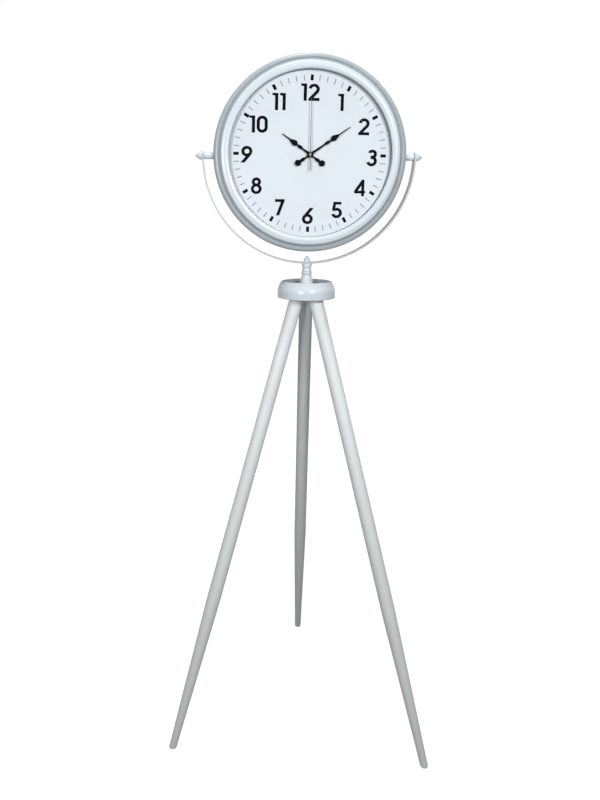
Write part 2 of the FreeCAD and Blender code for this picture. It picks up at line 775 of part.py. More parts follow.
def bezel():
    front = -BEZEL_FRONT
    lip = LIP_DIA / 2
    ring = RING_OUTER_DIA / 2
    outer = CLOCK_DIA / 2
    wall = BEZEL_WALL
    lip_front = front + LIP_SETBACK
    ring_back = front + RING_EDGE_SETBACK
    groove = front + GROOVE_DEPTH
    groove_start = ring + GROOVE_SLOPE
    groove_end = (groove_start + GROOVE_WIDTH, groove)
    crest = (groove_end[0] + BEAD_STEP, groove - BEAD_RISE)
    side = (outer, crest[1] + outer - crest[0])
    skirt_in = BAND_RADIUS + SEAT_GAP
    skirt_out = skirt_in + SKIRT_WALL
    skirt_start = side[1] + BEAD_UNDER
    skirt_end = skirt_start + SKIRT_LENGTH
    mid_ring = ((lip + ring) / 2, front)
    sleeve_out = SLEEVE_INSIDE + SLEEVE_WALL
    sleeve_end = DIAL_FACE - SLEEVE_END_GAP
    path = [
        (WALL_BACK_RADIUS, LIP_BACK),
        (lip, lip_front),
        (mid_ring, (ring - RING_EDGE_ROUND, ring_back - RING_EDGE_ROUND)),
        (ring, ring_back),
        (groove_start, groove),
        groove_end,
        quarter_round(groove_end, crest, True),
        quarter_round(crest, side, False),
        quarter_round(side, (skirt_out, skirt_start), True),
        (skirt_out, skirt_end),
        (skirt_in, skirt_end),
        (skirt_in, -BAND_FRONT - SKIRT_ROOM),
        (crest[0], crest[1] + BEAD_HOLLOW),
        (groove_end[0], groove + wall),
        (groove_start, groove + wall),
        (ring - wall - RING_EDGE_ROUND, ring_back + wall),
        (sleeve_out, lip_front + wall),
        (sleeve_out, sleeve_end),
        (SLEEVE_INSIDE, sleeve_end),
        (SLEEVE_INSIDE, LIP_BACK),
    ]
    body = turned_on_dial(path)
    for angle in bezel_screw_places():
        body = body.cut(bezel_screw_hole(angle))
    for side in (-1, 1):
        start = FreeCAD.Vector(side * BAND_RADIUS, 0, PIVOT_HEIGHT)
        slot_dia = PIVOT_POST_DIA + 2 * SKIRT_SLOT_CLEARANCE
        body = body.cut(rod(slot_dia, start, X_AXIS * side, YOKE_INNER_RADIUS))
    return one_solid(body)


def case_band():
    body = dial_disc(BAND_DIA, 2 * BAND_INSIDE, -BAND_FRONT, COVER_INSIDE)
    for angle in bezel_screw_places():
        body = body.cut(bezel_screw_hole(angle))
    for side in (-1, 1):
        body = body.cut(pivot_hole(side))
    return one_solid(body)


def pillar_places():
    step = 360.0 / PILLAR_COUNT
    return [around(step * (place + 0.5), PILLAR_CIRCLE_DIA / 2) for place in range(PILLAR_COUNT)]


def back_cover():
    body = dial_disc(BAND_DIA, ACCESS_HOLE_DIA, COVER_INSIDE, DRUM_BACK)
    for x, z in pillar_places():
        body = body.cut(dial_rod(CASE_SCREW_DIA + 2 * BOLT_CLEARANCE, COVER_INSIDE, DRUM_BACK, x, z))
    return one_solid(body)


def back_screw(x, z):
    seat = dial_point(x, DRUM_BACK, z)
    return pan_screw(seat, Y_AXIS, CASE_SCREW_DIA, CASE_SCREW_LENGTH, CASE_SCREW_HEAD_DIA, CASE_SCREW_HEAD)


def dial_screw(x, z):
    flare = CASE_SCREW_HEAD_DIA / 2
    start = dial_point(x, SHEET_BACK, z)
    head = Part.makeCone(flare, CASE_SCREW_DIA / 2, CASE_SCREW_HEAD, start, Y_AXIS)
    shank = dial_rod(CASE_SCREW_DIA, SHEET_BACK, SHEET_BACK + CASE_SCREW_LENGTH, x, z)
    return one_solid(head.fuse(shank).cut(screw_slot(start, -Y_AXIS, CASE_SCREW_HEAD_DIA)))


def dial_screw_hole(x, z):
    flare = CASE_SCREW_HEAD_DIA / 2 + BOLT_CLEARANCE
    start = dial_point(x, SHEET_BACK, z)
    narrow = CASE_SCREW_DIA / 2 + BOLT_CLEARANCE
    cone = Part.makeCone(flare, narrow, CASE_SCREW_HEAD, start, Y_AXIS)
    return cone.fuse(dial_rod(2 * narrow, SHEET_BACK, BOARD_BACK, x, z))


def dial_pillar(x, z):
    body = dial_rod(FOOT_PILLAR_DIA, BOARD_BACK, COVER_INSIDE, x, z)
    bore = CASE_SCREW_DIA + 2 * THREAD_CLEARANCE
    front_end = SHEET_BACK + CASE_SCREW_LENGTH + STUD_END_GAP
    back_start = DRUM_BACK - CASE_SCREW_LENGTH - STUD_END_GAP
    body = body.cut(dial_rod(bore, BOARD_BACK, front_end, x, z))
    return one_solid(body.cut(dial_rod(bore, back_start, COVER_INSIDE, x, z)))


def glass():
    dia = 2 * (SLEEVE_INSIDE - GLASS_EDGE_GAP)
    return dial_rod(dia, GLASS_FRONT, GLASS_BACK)


def spacer_ring():
    outer = SLEEVE_INSIDE - GLASS_EDGE_GAP
    path = [
        (WALL_BACK_RADIUS, GLASS_BACK),
        (outer, GLASS_BACK),
        (outer, DIAL_FACE),
        (DIAL_OPENING_DIA / 2, DIAL_FACE),
    ]
    return turned_on_dial(path)


def dial_sheet():
    return dial_disc(DIAL_SHEET_DIA, BUSHING_DIA + 2 * DIAL_HOLE_CLEARANCE, DIAL_FACE, SHEET_BACK)


def dial_board():
    body = dial_disc(DIAL_BOARD_DIA, BUSHING_DIA + 2 * DIAL_HOLE_CLEARANCE, SHEET_BACK, BOARD_BACK)
    for x, z in pillar_places():
        body = body.cut(dial_screw_hole(x, z))
    return one_solid(body)


# Movement case

def train_place(angle, distance, start=(0.0, 0.0)):
    across, up = around(angle, distance)
    return start[0] + across, start[1] + up


THIRD_PLACE = train_place(THIRD_ANGLE, THIRD_DISTANCE)
FIFTH_PLACE = train_place(FIFTH_ANGLE, FIFTH_DISTANCE)
ROTOR_PLACE = train_place(ROTOR_ANGLE, ROTOR_DISTANCE, FIFTH_PLACE)
MOTION_PLACE = train_place(MOTION_ANGLE, MOTION_DISTANCE)
KNOB_PLACE = train_place(KNOB_ANGLE, MOTION_DISTANCE, MOTION_PLACE)


def level(depth):
    """The y of a depth behind the front shell's inside face."""
    return TRAIN_FRONT + depth


def stator_post_places():
    return [(ROTOR_PLACE[0], STATOR_TOP - STATOR_BAR / 2), (COIL_OFFSET, STATOR_BOTTOM + STATOR_BAR / 2)]


def board_post_places():
    top = BOARD_BOTTOM + BOARD_SIZE - BOARD_POST_INSET
    left = BOARD_LEFT + BOARD_POST_INSET
    right = BOARD_LEFT + BOARD_SIZE - BOARD_POST_INSET
    return [(left, top), (right, top)]


def movement_shell():
    half = MOVEMENT_WIDTH / 2
    inside = half - MOVEMENT_WALL
    body = dial_box(-half, half, RUBBER_BACK, TRAIN_BACK, -MOVEMENT_BOTTOM, MOVEMENT_TOP)
    train_room = dial_box(
        -inside, inside, TRAIN_FRONT, TRAIN_BACK, -PARTITION_TOP, MOVEMENT_TOP - MOVEMENT_WALL
    )
    bay_top = -PARTITION_TOP - PARTITION_WALL
    bay = dial_box(-inside, inside, TRAIN_FRONT, TRAIN_BACK, -MOVEMENT_BOTTOM + MOVEMENT_WALL, bay_top)
    body = body.cut(train_room).cut(bay)
    bushing_front = DIAL_FACE - BRASS_WASHER_THICK - NUT_THICK - BUSHING_SPARE
    body = body.fuse(dial_rod(BUSHING_DIA, bushing_front, TRAIN_FRONT))
    body = body.cut(dial_rod(HOUR_PIPE_DIA + 2 * RUNNING_CLEARANCE, bushing_front, TRAIN_FRONT))
    for x, z in stator_post_places():
        body = body.fuse(dial_rod(STATOR_POST_DIA, TRAIN_FRONT, level(STATOR_LEVEL), x, z))
    for x, z in board_post_places():
        body = body.fuse(dial_rod(BOARD_POST_DIA, TRAIN_FRONT, level(BOARD_LEVEL), x, z))
    stud_end = level(MOTION_LEVEL + WHEEL_THICK + PINION_MARGIN + MOTION_STUD_SPARE)
    body = body.fuse(dial_rod(MOTION_STUD_DIA, TRAIN_FRONT, stud_end, *MOTION_PLACE))
    pivot = PIVOT_DIA + 2 * RUNNING_CLEARANCE
    for x, z in (THIRD_PLACE, FIFTH_PLACE, ROTOR_PLACE, KNOB_PLACE):
        body = body.cut(dial_rod(pivot, level(-PIVOT_HOLE_DEPTH), TRAIN_FRONT, x, z))
    return one_solid(body)


def movement_cover():
    half = MOVEMENT_WIDTH / 2
    low = -PARTITION_TOP - PARTITION_WALL
    body = dial_box(-half, half, TRAIN_BACK, REAR_FACE, low, MOVEMENT_TOP)
    pivot = PIVOT_DIA + 2 * RUNNING_CLEARANCE
    hole_end = TRAIN_BACK + PIVOT_HOLE_DEPTH
    for x, z in (THIRD_PLACE, FIFTH_PLACE, ROTOR_PLACE, (0.0, 0.0)):
        body = body.cut(dial_rod(pivot, TRAIN_BACK, hole_end, x, z))
    knob_hole = KNOB_ARBOR_DIA + 2 * RUNNING_CLEARANCE
    return one_solid(body.cut(dial_rod(knob_hole, TRAIN_BACK, REAR_FACE, *KNOB_PLACE)))


def rubber_washer():
    return dial_disc(RUBBER_DIA, BUSHING_DIA + 2 * WASHER_CLEARANCE, BOARD_BACK, RUBBER_BACK)


def brass_washer():
    bore = BUSHING_DIA + 2 * WASHER_CLEARANCE
    return dial_disc(BRASS_WASHER_DIA, bore, DIAL_FACE - BRASS_WASHER_THICK, DIAL_FACE)


def shaft_nut():
    back = DIAL_FACE - BRASS_WASHER_THICK
    body = flat_prism(hexagon(NUT_FLATS), back - NUT_THICK, NUT_THICK)
    return body.cut(dial_rod(BUSHING_DIA + 2 * THREAD_CLEARANCE, back - NUT_THICK, back))


def battery():
    y = TRAIN_FRONT + BATTERY_SEAT_GAP + BATTERY_DIA / 2
    start = dial_point(-(BATTERY_BODY + BATTERY_NUB) / 2, y, -BATTERY_DROP)
    body = rod(BATTERY_DIA, start, X_AXIS, BATTERY_BODY)
    nub = rod(BATTERY_NUB_DIA, start + X_AXIS * BATTERY_BODY, X_AXIS, BATTERY_NUB)
    return one_solid(body.fuse(nub))


def battery_contact(side):
    wall = MOVEMENT_WIDTH / 2 - MOVEMENT_WALL - RUNNING_CLEARANCE
    y = TRAIN_FRONT + BATTERY_SEAT_GAP + BATTERY_DIA / 2
    half = CONTACT_WIDTH / 2
    low = min(side * wall, side * (wall - CONTACT_THICK))
    z_low = -BATTERY_DROP - half
    plate = dial_box(low, low + CONTACT_THICK, TRAIN_FRONT, y + half, z_low, z_low + CONTACT_WIDTH)
    battery_end = (BATTERY_BODY + BATTERY_NUB) / 2 + RUNNING_CLEARANCE
    start = dial_point(side * battery_end, y, -BATTERY_DROP)
    button = rod(CONTACT_BUTTON_DIA, start, X_AXIS * side, wall - battery_end)
    return one_solid(plate.fuse(button))


# Motor and circuit

def stator():
    y = level(STATOR_LEVEL)
    end = y + STATOR_THICK
    half = STATOR_BAR / 2
    coil_half = COIL_BAR / 2
    x, z = ROTOR_PLACE
    body = dial_rod(STATOR_BOSS_DIA, y, end, x, z)
    bars = [
        (x - half, x + half, z, STATOR_TOP),
        (x - half, COIL_OFFSET + coil_half, STATOR_TOP - STATOR_BAR, STATOR_TOP),
        (COIL_OFFSET - coil_half, COIL_OFFSET + coil_half, STATOR_BOTTOM, STATOR_TOP),
        (STATOR_SIDE - half, COIL_OFFSET + coil_half, STATOR_BOTTOM, STATOR_BOTTOM + STATOR_BAR),
        (STATOR_SIDE - half, STATOR_SIDE + half, STATOR_BOTTOM, z),
    ]
    for x_low, x_high, z_low, z_high in bars:
        body = body.fuse(dial_box(x_low, x_high, y, end, z_low, z_high))
    return one_solid(body.cut(dial_rod(STATOR_BORE_DIA, y, end, x, z)))


def coil():
    y = level(STATOR_LEVEL) + STATOR_THICK / 2
    low = STATOR_BOTTOM + STATOR_BAR + COIL_MARGIN
    high = STATOR_TOP - STATOR_BAR - COIL_MARGIN
    body = rod(COIL_DIA, dial_point(COIL_OFFSET, y, low), Z_AXIS, high - low)
    half_width = COIL_BAR / 2 + BOLT_CLEARANCE
    half_thick = STATOR_THICK / 2 + BOLT_CLEARANCE
    slot = dial_box(
        COIL_OFFSET - half_width, COIL_OFFSET + half_width, y - half_thick, y + half_thick, low, high
    )
    return one_solid(body.cut(slot))


def circuit_board():
    right = BOARD_LEFT + BOARD_SIZE
    top = BOARD_BOTTOM + BOARD_SIZE
    return dial_box(
        BOARD_LEFT, right, level(BOARD_LEVEL), level(BOARD_LEVEL + BOARD_THICK), BOARD_BOTTOM, top
    )


# Wheel train

def mesh_phase(teeth, phase, angle, next_teeth):
    """The tooth phase of a wheel that meshes at an angle with one of known phase, in radians."""
    line = math.radians(angle)
    return line + math.pi - (math.pi - teeth * (line - phase)) / next_teeth


def toothed(teeth, module, phase, place, depth, thick):
    """A plain toothed disc with straight thin teeth."""
    pitch_radius = module * teeth / 2
    tip = pitch_radius + TOOTH_ADDENDUM * module
    root = pitch_radius - TOOTH_DEDENDUM * module
    step = 2 * math.pi / teeth
    outline = [
        (root, -TOOTH_ROOT_SHARE),
        (pitch_radius, -TOOTH_PITCH_SHARE),
        (tip, -TOOTH_TIP_SHARE),
        (tip, TOOTH_TIP_SHARE),
        (pitch_radius, TOOTH_PITCH_SHARE),
        (root, TOOTH_ROOT_SHARE),
    ]
    points = []
    for tooth in range(teeth):
        for radius, share in outline:
            turn = phase + step * (tooth + share / 2)
            points.append((place[0] + radius * math.cos(turn), place[1] + radius * math.sin(turn)))
    return flat_prism(points, level(depth), thick)


def pair_module(teeth, other_teeth, distance):
    return 2 * distance / (teeth + other_teeth)


def arbor(place):
    """A shaft that runs between the two plates on thin pivots."""
    body = dial_rod(ARBOR_DIA, level(PINION_MARGIN), TRAIN_BACK - PINION_MARGIN, *place)
    pivots = dial_rod(PIVOT_DIA, level(-PIVOT_LENGTH), TRAIN_BACK + PIVOT_LENGTH, *place)
    return body.fuse(pivots)


def pinion(teeth, module, phase, place, depth):
    return toothed(teeth, module, phase, place, depth - PINION_MARGIN, WHEEL_THICK + 2 * PINION_MARGIN)


def rotor():
    module = pair_module(ROTOR_TEETH, FIFTH_TEETH, ROTOR_DISTANCE)
    magnet_start = STATOR_LEVEL + (STATOR_THICK - MAGNET_LENGTH) / 2
    magnet = dial_rod(MAGNET_DIA, level(magnet_start), level(magnet_start + MAGNET_LENGTH), *ROTOR_PLACE)
    teeth = pinion(ROTOR_TEETH, module, 0.0, ROTOR_PLACE, FIFTH_LEVEL)
    return one_solid(arbor(ROTOR_PLACE).fuse(magnet).fuse(teeth))


def fifth_wheel():
    wheel_module = pair_module(ROTOR_TEETH, FIFTH_TEETH, ROTOR_DISTANCE)
    phase = mesh_phase(ROTOR_TEETH, 0.0, ROTOR_ANGLE + 180.0, FIFTH_TEETH)
    wheel = toothed(FIFTH_TEETH, wheel_module, phase, FIFTH_PLACE, FIFTH_LEVEL, WHEEL_THICK)
    module = pair_module(FIFTH_PINION_TEETH, SECOND_TEETH, FIFTH_DISTANCE)
    teeth = pinion(FIFTH_PINION_TEETH, module, 0.0, FIFTH_PLACE, SECOND_LEVEL)
    return one_solid(arbor(FIFTH_PLACE).fuse(wheel).fuse(teeth))


def second_wheel():
    wheel_module = pair_module(FIFTH_PINION_TEETH, SECOND_TEETH, FIFTH_DISTANCE)
    phase = mesh_phase(FIFTH_PINION_TEETH, 0.0, FIFTH_ANGLE + 180.0, SECOND_TEETH)
    wheel = toothed(SECOND_TEETH, wheel_module, phase, (0.0, 0.0), SECOND_LEVEL, WHEEL_THICK)
    module = pair_module(SECOND_PINION_TEETH, THIRD_TEETH, THIRD_DISTANCE)
    teeth = pinion(SECOND_PINION_TEETH, module, 0.0, (0.0, 0.0), THIRD_LEVEL)
    shaft = dial_rod(SECOND_ARBOR_DIA, SECOND_PLANE - PIPE_SPARE, TRAIN_BACK - PINION_MARGIN)
    pivot = dial_rod(PIVOT_DIA, TRAIN_BACK - WHEEL_THICK, TRAIN_BACK + PIVOT_LENGTH)
    return one_solid(shaft.fuse(pivot).fuse(wheel).fuse(teeth))


def third_wheel():
    wheel_module = pair_module(SECOND_PINION_TEETH, THIRD_TEETH, THIRD_DISTANCE)
    phase = mesh_phase(SECOND_PINION_TEETH, 0.0, THIRD_ANGLE, THIRD_TEETH)
    wheel = toothed(THIRD_TEETH, wheel_module, phase, THIRD_PLACE, THIRD_LEVEL, WHEEL_THICK)
    module = pair_module(THIRD_PINION_TEETH, CENTRE_TEETH, THIRD_DISTANCE)
    teeth = pinion(THIRD_PINION_TEETH, module, 0.0, THIRD_PLACE, CENTRE_LEVEL)
    return one_solid(arbor(THIRD_PLACE).fuse(wheel).fuse(teeth))


def centre_wheel():
    wheel_module = pair_module(THIRD_PINION_TEETH, CENTRE_TEETH, THIRD_DISTANCE)
    phase = mesh_phase(THIRD_PINION_TEETH, 0.0, THIRD_ANGLE + 180.0, CENTRE_TEETH)
    wheel = toothed(CENTRE_TEETH, wheel_module, phase, (0.0, 0.0), CENTRE_LEVEL, WHEEL_THICK)
    module = pair_module(CANNON_TEETH, MOTION_TEETH, MOTION_DISTANCE)
    cannon = pinion(CANNON_TEETH, module, 0.0, (0.0, 0.0), MOTION_LEVEL)
    pipe_end = level(CENTRE_LEVEL + WHEEL_THICK + PINION_MARGIN)
    pipe_front = MINUTE_PLANE - PIPE_SPARE
    pipe = dial_rod(MINUTE_PIPE_DIA, pipe_front, pipe_end)
    bore = dial_rod(MINUTE_PIPE_BORE, pipe_front, pipe_end)
    return one_solid(pipe.fuse(wheel).fuse(cannon).cut(bore))


def motion_phase():
    return mesh_phase(CANNON_TEETH, 0.0, MOTION_ANGLE, MOTION_TEETH)


def motion_wheel():
    module = pair_module(CANNON_TEETH, MOTION_TEETH, MOTION_DISTANCE)
    wheel = toothed(MOTION_TEETH, module, motion_phase(), MOTION_PLACE, MOTION_LEVEL, WHEEL_THICK)
    pinion_module = pair_module(MOTION_PINION_TEETH, HOUR_TEETH, MOTION_DISTANCE)
    front = HOUR_LEVEL - PINION_MARGIN
    length = MOTION_LEVEL - front
    teeth = toothed(MOTION_PINION_TEETH, pinion_module, 0.0, MOTION_PLACE, front, length)
    end = level(MOTION_LEVEL + WHEEL_THICK)
    hole = dial_rod(MOTION_STUD_DIA + 2 * RUNNING_CLEARANCE, TRAIN_FRONT, end, *MOTION_PLACE)
    return one_solid(wheel.fuse(teeth).cut(hole))


def hour_wheel():
    module = pair_module(MOTION_PINION_TEETH, HOUR_TEETH, MOTION_DISTANCE)
    phase = mesh_phase(MOTION_PINION_TEETH, 0.0, MOTION_ANGLE + 180.0, HOUR_TEETH)
    wheel = toothed(HOUR_TEETH, module, phase, (0.0, 0.0), HOUR_LEVEL, WHEEL_THICK)
    pipe_front = HOUR_PLANE - PIPE_SPARE
    pipe_end = level(HOUR_LEVEL + WHEEL_THICK)
    pipe = dial_rod(HOUR_PIPE_DIA, pipe_front, pipe_end)
    bore = dial_rod(HOUR_PIPE_BORE, pipe_front, pipe_end)
    return one_solid(pipe.fuse(wheel).cut(bore))


def setting_knob():
    module = pair_module(CANNON_TEETH, MOTION_TEETH, MOTION_DISTANCE)
    phase = mesh_phase(MOTION_TEETH, motion_phase(), KNOB_ANGLE, KNOB_TEETH)
    teeth = pinion(KNOB_TEETH, module, phase, KNOB_PLACE, MOTION_LEVEL)
    shaft_start = level(MOTION_LEVEL - PINION_MARGIN)
    knob_start = REAR_FACE + KNOB_GAP
    shaft = dial_rod(KNOB_ARBOR_DIA, shaft_start, knob_start, *KNOB_PLACE)
    pivot = dial_rod(PIVOT_DIA, level(-PIVOT_LENGTH), shaft_start, *KNOB_PLACE)
    step = 360.0 / KNOB_FLATS
    grip = []
    for flat in range(KNOB_FLATS):
        across, up = around(step * flat, KNOB_DIA / 2)
        grip.append((KNOB_PLACE[0] + across, KNOB_PLACE[1] + up))
    head = flat_prism(grip, knob_start, KNOB_LENGTH)
    return one_solid(shaft.fuse(pivot).fuse(teeth).fuse(head))


# Hands

def mirrored(path):
    """A closed (x, z) path from the path of one side, which runs along +Z, and its mirror image."""
    ends = [entry[1] if isinstance(entry[0], tuple) else entry for entry in path]
    back = [(-ends[-1][0], ends[-1][1])]
    for entry, (x, z) in zip(reversed(path[1:]), reversed(ends[:-1])):
        if isinstance(entry[0], tuple):
            through_x, through_z = entry[0]
            back.append(((-through_x, through_z), (-x, z)))
        else:
            back.append((-x, z))
    return path + back


def hand_plate(path, plane):
    """A flat piece of a hand from the path of one side."""
    face = closed_face(mirrored(path), lambda x, z: dial_point(x, plane, z))
    return face.extrude(FreeCAD.Vector(0, HAND_THICK, 0))


def spade_hand(length, spade_at, neck, plane, pipe_dia):
    """A spade hand that points up, with a knot, a leaf, a needle and a ball tail."""
    stem = STEM_WIDTH / 2
    knot = KNOT_WIDTH / 2
    half_knot = KNOT_LENGTH / 2
    leaf = SPADE_WIDTH / 2
    leaf_start = spade_at - SPADE_BACK
    leaf_end = spade_at + SPADE_FRONT
    knot_at = leaf_start - neck - half_knot
    front = [
        (STEM_ROOT_WIDTH / 2, 0.0),
        (stem, knot_at - half_knot),
        ((knot, knot_at), (stem, knot_at + half_knot)),
        (stem, leaf_start),
        ((leaf * SPADE_BACK_FULLNESS, spade_at - SPADE_BACK / 3), (leaf, spade_at)),
        ((leaf * SPADE_FRONT_FULLNESS, spade_at + SPADE_FRONT / 3), (NEEDLE_WIDTH / 2, leaf_end)),
        (NEEDLE_TIP_WIDTH / 2, length),
    ]
    tail = [
        (stem, -TAIL_AT),
        (stem, -TAIL_KNOT_AT - half_knot),
        ((knot, -TAIL_KNOT_AT), (stem, -TAIL_KNOT_AT + half_knot)),
        (stem, 0.0),
    ]
    body = hand_plate(front, plane).fuse(hand_plate(tail, plane))
    body = body.fuse(dial_rod(TAIL_BALL_DIA, plane, plane + HAND_THICK, 0.0, -TAIL_AT))
    body = body.fuse(dial_rod(HAND_EYE_DIA, plane, plane + HAND_THICK))
    hole = dial_rod(pipe_dia + 2 * PUSH_CLEARANCE, plane, plane + HAND_THICK)
    return one_solid(body.cut(hole))


def set_hand(shape, angle):
    """Turns a hand clockwise from 12, as seen from the front."""
    shape.rotate(HEAD_CENTRE, Y_AXIS, angle)
    return shape


def hour_hand():
    hand = spade_hand(HOUR_LENGTH, HOUR_SPADE_AT, HOUR_NECK, HOUR_PLANE, HOUR_PIPE_DIA)
    return set_hand(hand, HOUR_HAND_ANGLE)


def minute_hand():
    hand = spade_hand(MINUTE_LENGTH, MINUTE_SPADE_AT, MINUTE_NECK, MINUTE_PLANE, MINUTE_PIPE_DIA)
    return set_hand(hand, MINUTE_HAND_ANGLE)


def second_hand():
    half = SECOND_WIDTH / 2
    side = [(half, -SECOND_TAIL), (half, 0.0), (SECOND_TIP_WIDTH / 2, SECOND_LENGTH)]
    body = hand_plate(side, SECOND_PLANE)
    body = body.fuse(dial_rod(SECOND_EYE_DIA, SECOND_PLANE, SECOND_PLANE + HAND_THICK))
    boss = dial_rod(SECOND_BOSS_DIA, SECOND_PLANE, SECOND_PLANE + SECOND_BOSS_LENGTH)
    hole = dial_rod(SECOND_ARBOR_DIA + 2 * PUSH_CLEARANCE, SECOND_PLANE, SECOND_PLANE + SECOND_BOSS_LENGTH)
    return set_hand(one_solid(body.fuse(boss).cut(hole)), SECOND_HAND_ANGLE)


# Assembly

def build():
    nodes = {}
    for name, angle in zip(LEG_NAMES, LEG_ANGLES):
        nodes[name] = [turned_about_spindle(leg(), angle)]
    nodes["leg_studs"] = [turned_about_spindle(leg_stud(), angle) for angle in LEG_ANGLES]
    nodes["leg_inserts"] = [turned_about_spindle(leg_insert(), angle) for angle in LEG_ANGLES]
    nodes["hub"] = [hub()]
    nodes["hub_insert"] = [hub_insert()]
    nodes["centre_stud"] = [centre_stud()]
    nodes["spindle"] = [spindle()]
    nodes["spindle_finial"] = [spindle_finial()]
    nodes["yoke"] = [yoke()]
    for name, side in (("left", -1), ("right", 1)):
        nodes["pivot_post_" + name] = [pivot_post(side)]
        nodes["pivot_finial_" + name] = [pivot_finial(side)]
        nodes["pivot_bolt_" + name] = [pivot_bolt(side)]
        nodes["pivot_block_" + name] = [pivot_block(side)]
    nodes["bezel"] = [bezel()]
    nodes["bezel_screws"] = [bezel_screw(angle) for angle in bezel_screw_places()]
    nodes["case_band"] = [case_band()]
    nodes["back_cover"] = [back_cover()]
    nodes["back_screws"] = [back_screw(x, z) for x, z in pillar_places()]
    nodes["dial_screws"] = [dial_screw(x, z) for x, z in pillar_places()]
    nodes["dial_pillars"] = [dial_pillar(x, z) for x, z in pillar_places()]
    nodes["glass"] = [glass()]
    nodes["spacer_ring"] = [spacer_ring()]
    nodes["dial_sheet"] = [dial_sheet()]
    nodes["dial_board"] = [dial_board()]
    nodes["movement_shell"] = [movement_shell()]
    nodes["movement_cover"] = [movement_cover()]
    nodes["rubber_washer"] = [rubber_washer()]
    nodes["brass_washer"] = [brass_washer()]
    nodes["shaft_nut"] = [shaft_nut()]
    nodes["battery"] = [battery()]
    nodes["battery_contacts"] = [battery_contact(-1), battery_contact(1)]
    nodes["stator"] = [stator()]
    nodes["coil"] = [coil()]
    nodes["circuit_board"] = [circuit_board()]
    nodes["rotor"] = [rotor()]
    nodes["fifth_wheel"] = [fifth_wheel()]
    nodes["second_wheel"] = [second_wheel()]
    nodes["third_wheel"] = [third_wheel()]
    nodes["centre_wheel"] = [centre_wheel()]
    nodes["motion_wheel"] = [motion_wheel()]
    nodes["hour_wheel"] = [hour_wheel()]
    nodes["setting_knob"] = [setting_knob()]
    nodes["hour_hand"] = [hour_hand()]
    nodes["minute_hand"] = [minute_hand()]
    nodes["second_hand"] = [second_hand()]
    return nodes


os.makedirs("parts", exist_ok=True)
for node, solids in build().items():
    shape = solids[0] if len(solids) == 1 else Part.makeCompound(solids)
    shape.translate(axis_shift())
    shape.exportStep("parts/" + node + ".step")
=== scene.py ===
import math

import bpy
from mathutils import Matrix, Vector


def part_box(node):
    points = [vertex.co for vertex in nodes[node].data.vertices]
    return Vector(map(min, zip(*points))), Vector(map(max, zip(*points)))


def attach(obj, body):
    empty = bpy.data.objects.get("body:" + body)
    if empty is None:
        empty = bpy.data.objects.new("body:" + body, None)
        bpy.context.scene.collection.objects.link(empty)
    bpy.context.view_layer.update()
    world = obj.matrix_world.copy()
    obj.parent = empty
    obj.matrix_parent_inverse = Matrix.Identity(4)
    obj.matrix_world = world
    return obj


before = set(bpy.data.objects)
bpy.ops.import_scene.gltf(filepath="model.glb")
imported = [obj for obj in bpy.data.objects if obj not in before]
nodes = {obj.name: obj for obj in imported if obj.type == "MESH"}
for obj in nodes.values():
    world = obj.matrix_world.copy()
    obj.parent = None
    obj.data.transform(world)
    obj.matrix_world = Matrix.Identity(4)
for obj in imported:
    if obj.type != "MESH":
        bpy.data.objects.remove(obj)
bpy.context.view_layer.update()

# Tripod floor clock, in metres. Z is up, the floor is Z = 0 and the dial looks along -Y.

# Places on the clock
sheet_low, sheet_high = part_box("dial_sheet")
DIAL_CENTRE = Vector((
    (sheet_low.x + sheet_high.x) / 2,
    sheet_low.y,
    (sheet_low.z + sheet_high.z) / 2,
))
hub_low, hub_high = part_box("hub")
SPINDLE_X = (hub_low.x + hub_high.x) / 2
SPINDLE_Y = (hub_low.y + hub_high.y) / 2

# The bezel's flat ring ends at this distance from the dial's axis, and its outer rim begins
RING_RADIUS = 0.1843
RIM_BLUR = 0.0008

# Cosines of the turn between a rounded normal and the plain one, on an edge and on flat ground
EDGE_COSINE = 0.82
FLAT_COSINE = 0.99
EDGE_SAMPLES = 4

# Paint on edges starts to wear where the scuffing passes this value
SCUFF_START = 0.42

# Upward shares of a normal, on faces that count as sides and on faces that count as tops; between
# them the painted shade on the hub's top fades in
SIDE_RISE = 0.36
TOP_RISE = 0.66

# The legs turn to their lower colour, a painted shade, from this height down to the floor
PAINTED_SHADE_START_HEIGHT = 0.75

# Paints, as linear colours
CASE = (0.63, 0.695, 0.75)
CASE_DEEP = (0.61, 0.675, 0.73)
CASE_EDGE = (0.76, 0.80, 0.83)
RIM = (0.366, 0.41, 0.438)
RIM_DEEP = (0.352, 0.395, 0.424)
RIM_EDGE = (0.405, 0.45, 0.478)
POST = (0.64, 0.695, 0.74)
POST_DEEP = (0.62, 0.675, 0.72)
YOKE = (0.55, 0.56, 0.56)
YOKE_DEEP = (0.53, 0.54, 0.54)
YOKE_EDGE = (0.58, 0.59, 0.59)
HUB = (0.61, 0.675, 0.73)
HUB_DEEP = (0.58, 0.645, 0.70)
# The hub's top colour is painted shade, for faces that look up
HUB_TOP_PAINTED_SHADE = (0.55, 0.595, 0.62)
LEG = (0.735, 0.777, 0.788)
LEG_DEEP = (0.705, 0.747, 0.758)
# The legs' colour near the floor is painted shade
LEG_LOW_PAINTED_SHADE = (0.565, 0.58, 0.57)
WOOD_EDGE = (0.56, 0.54, 0.49)
HAND = (0.003, 0.0035, 0.005)
HAND_DEEP = (0.004, 0.0045, 0.006)
HAND_EDGE = (0.01, 0.011, 0.013)

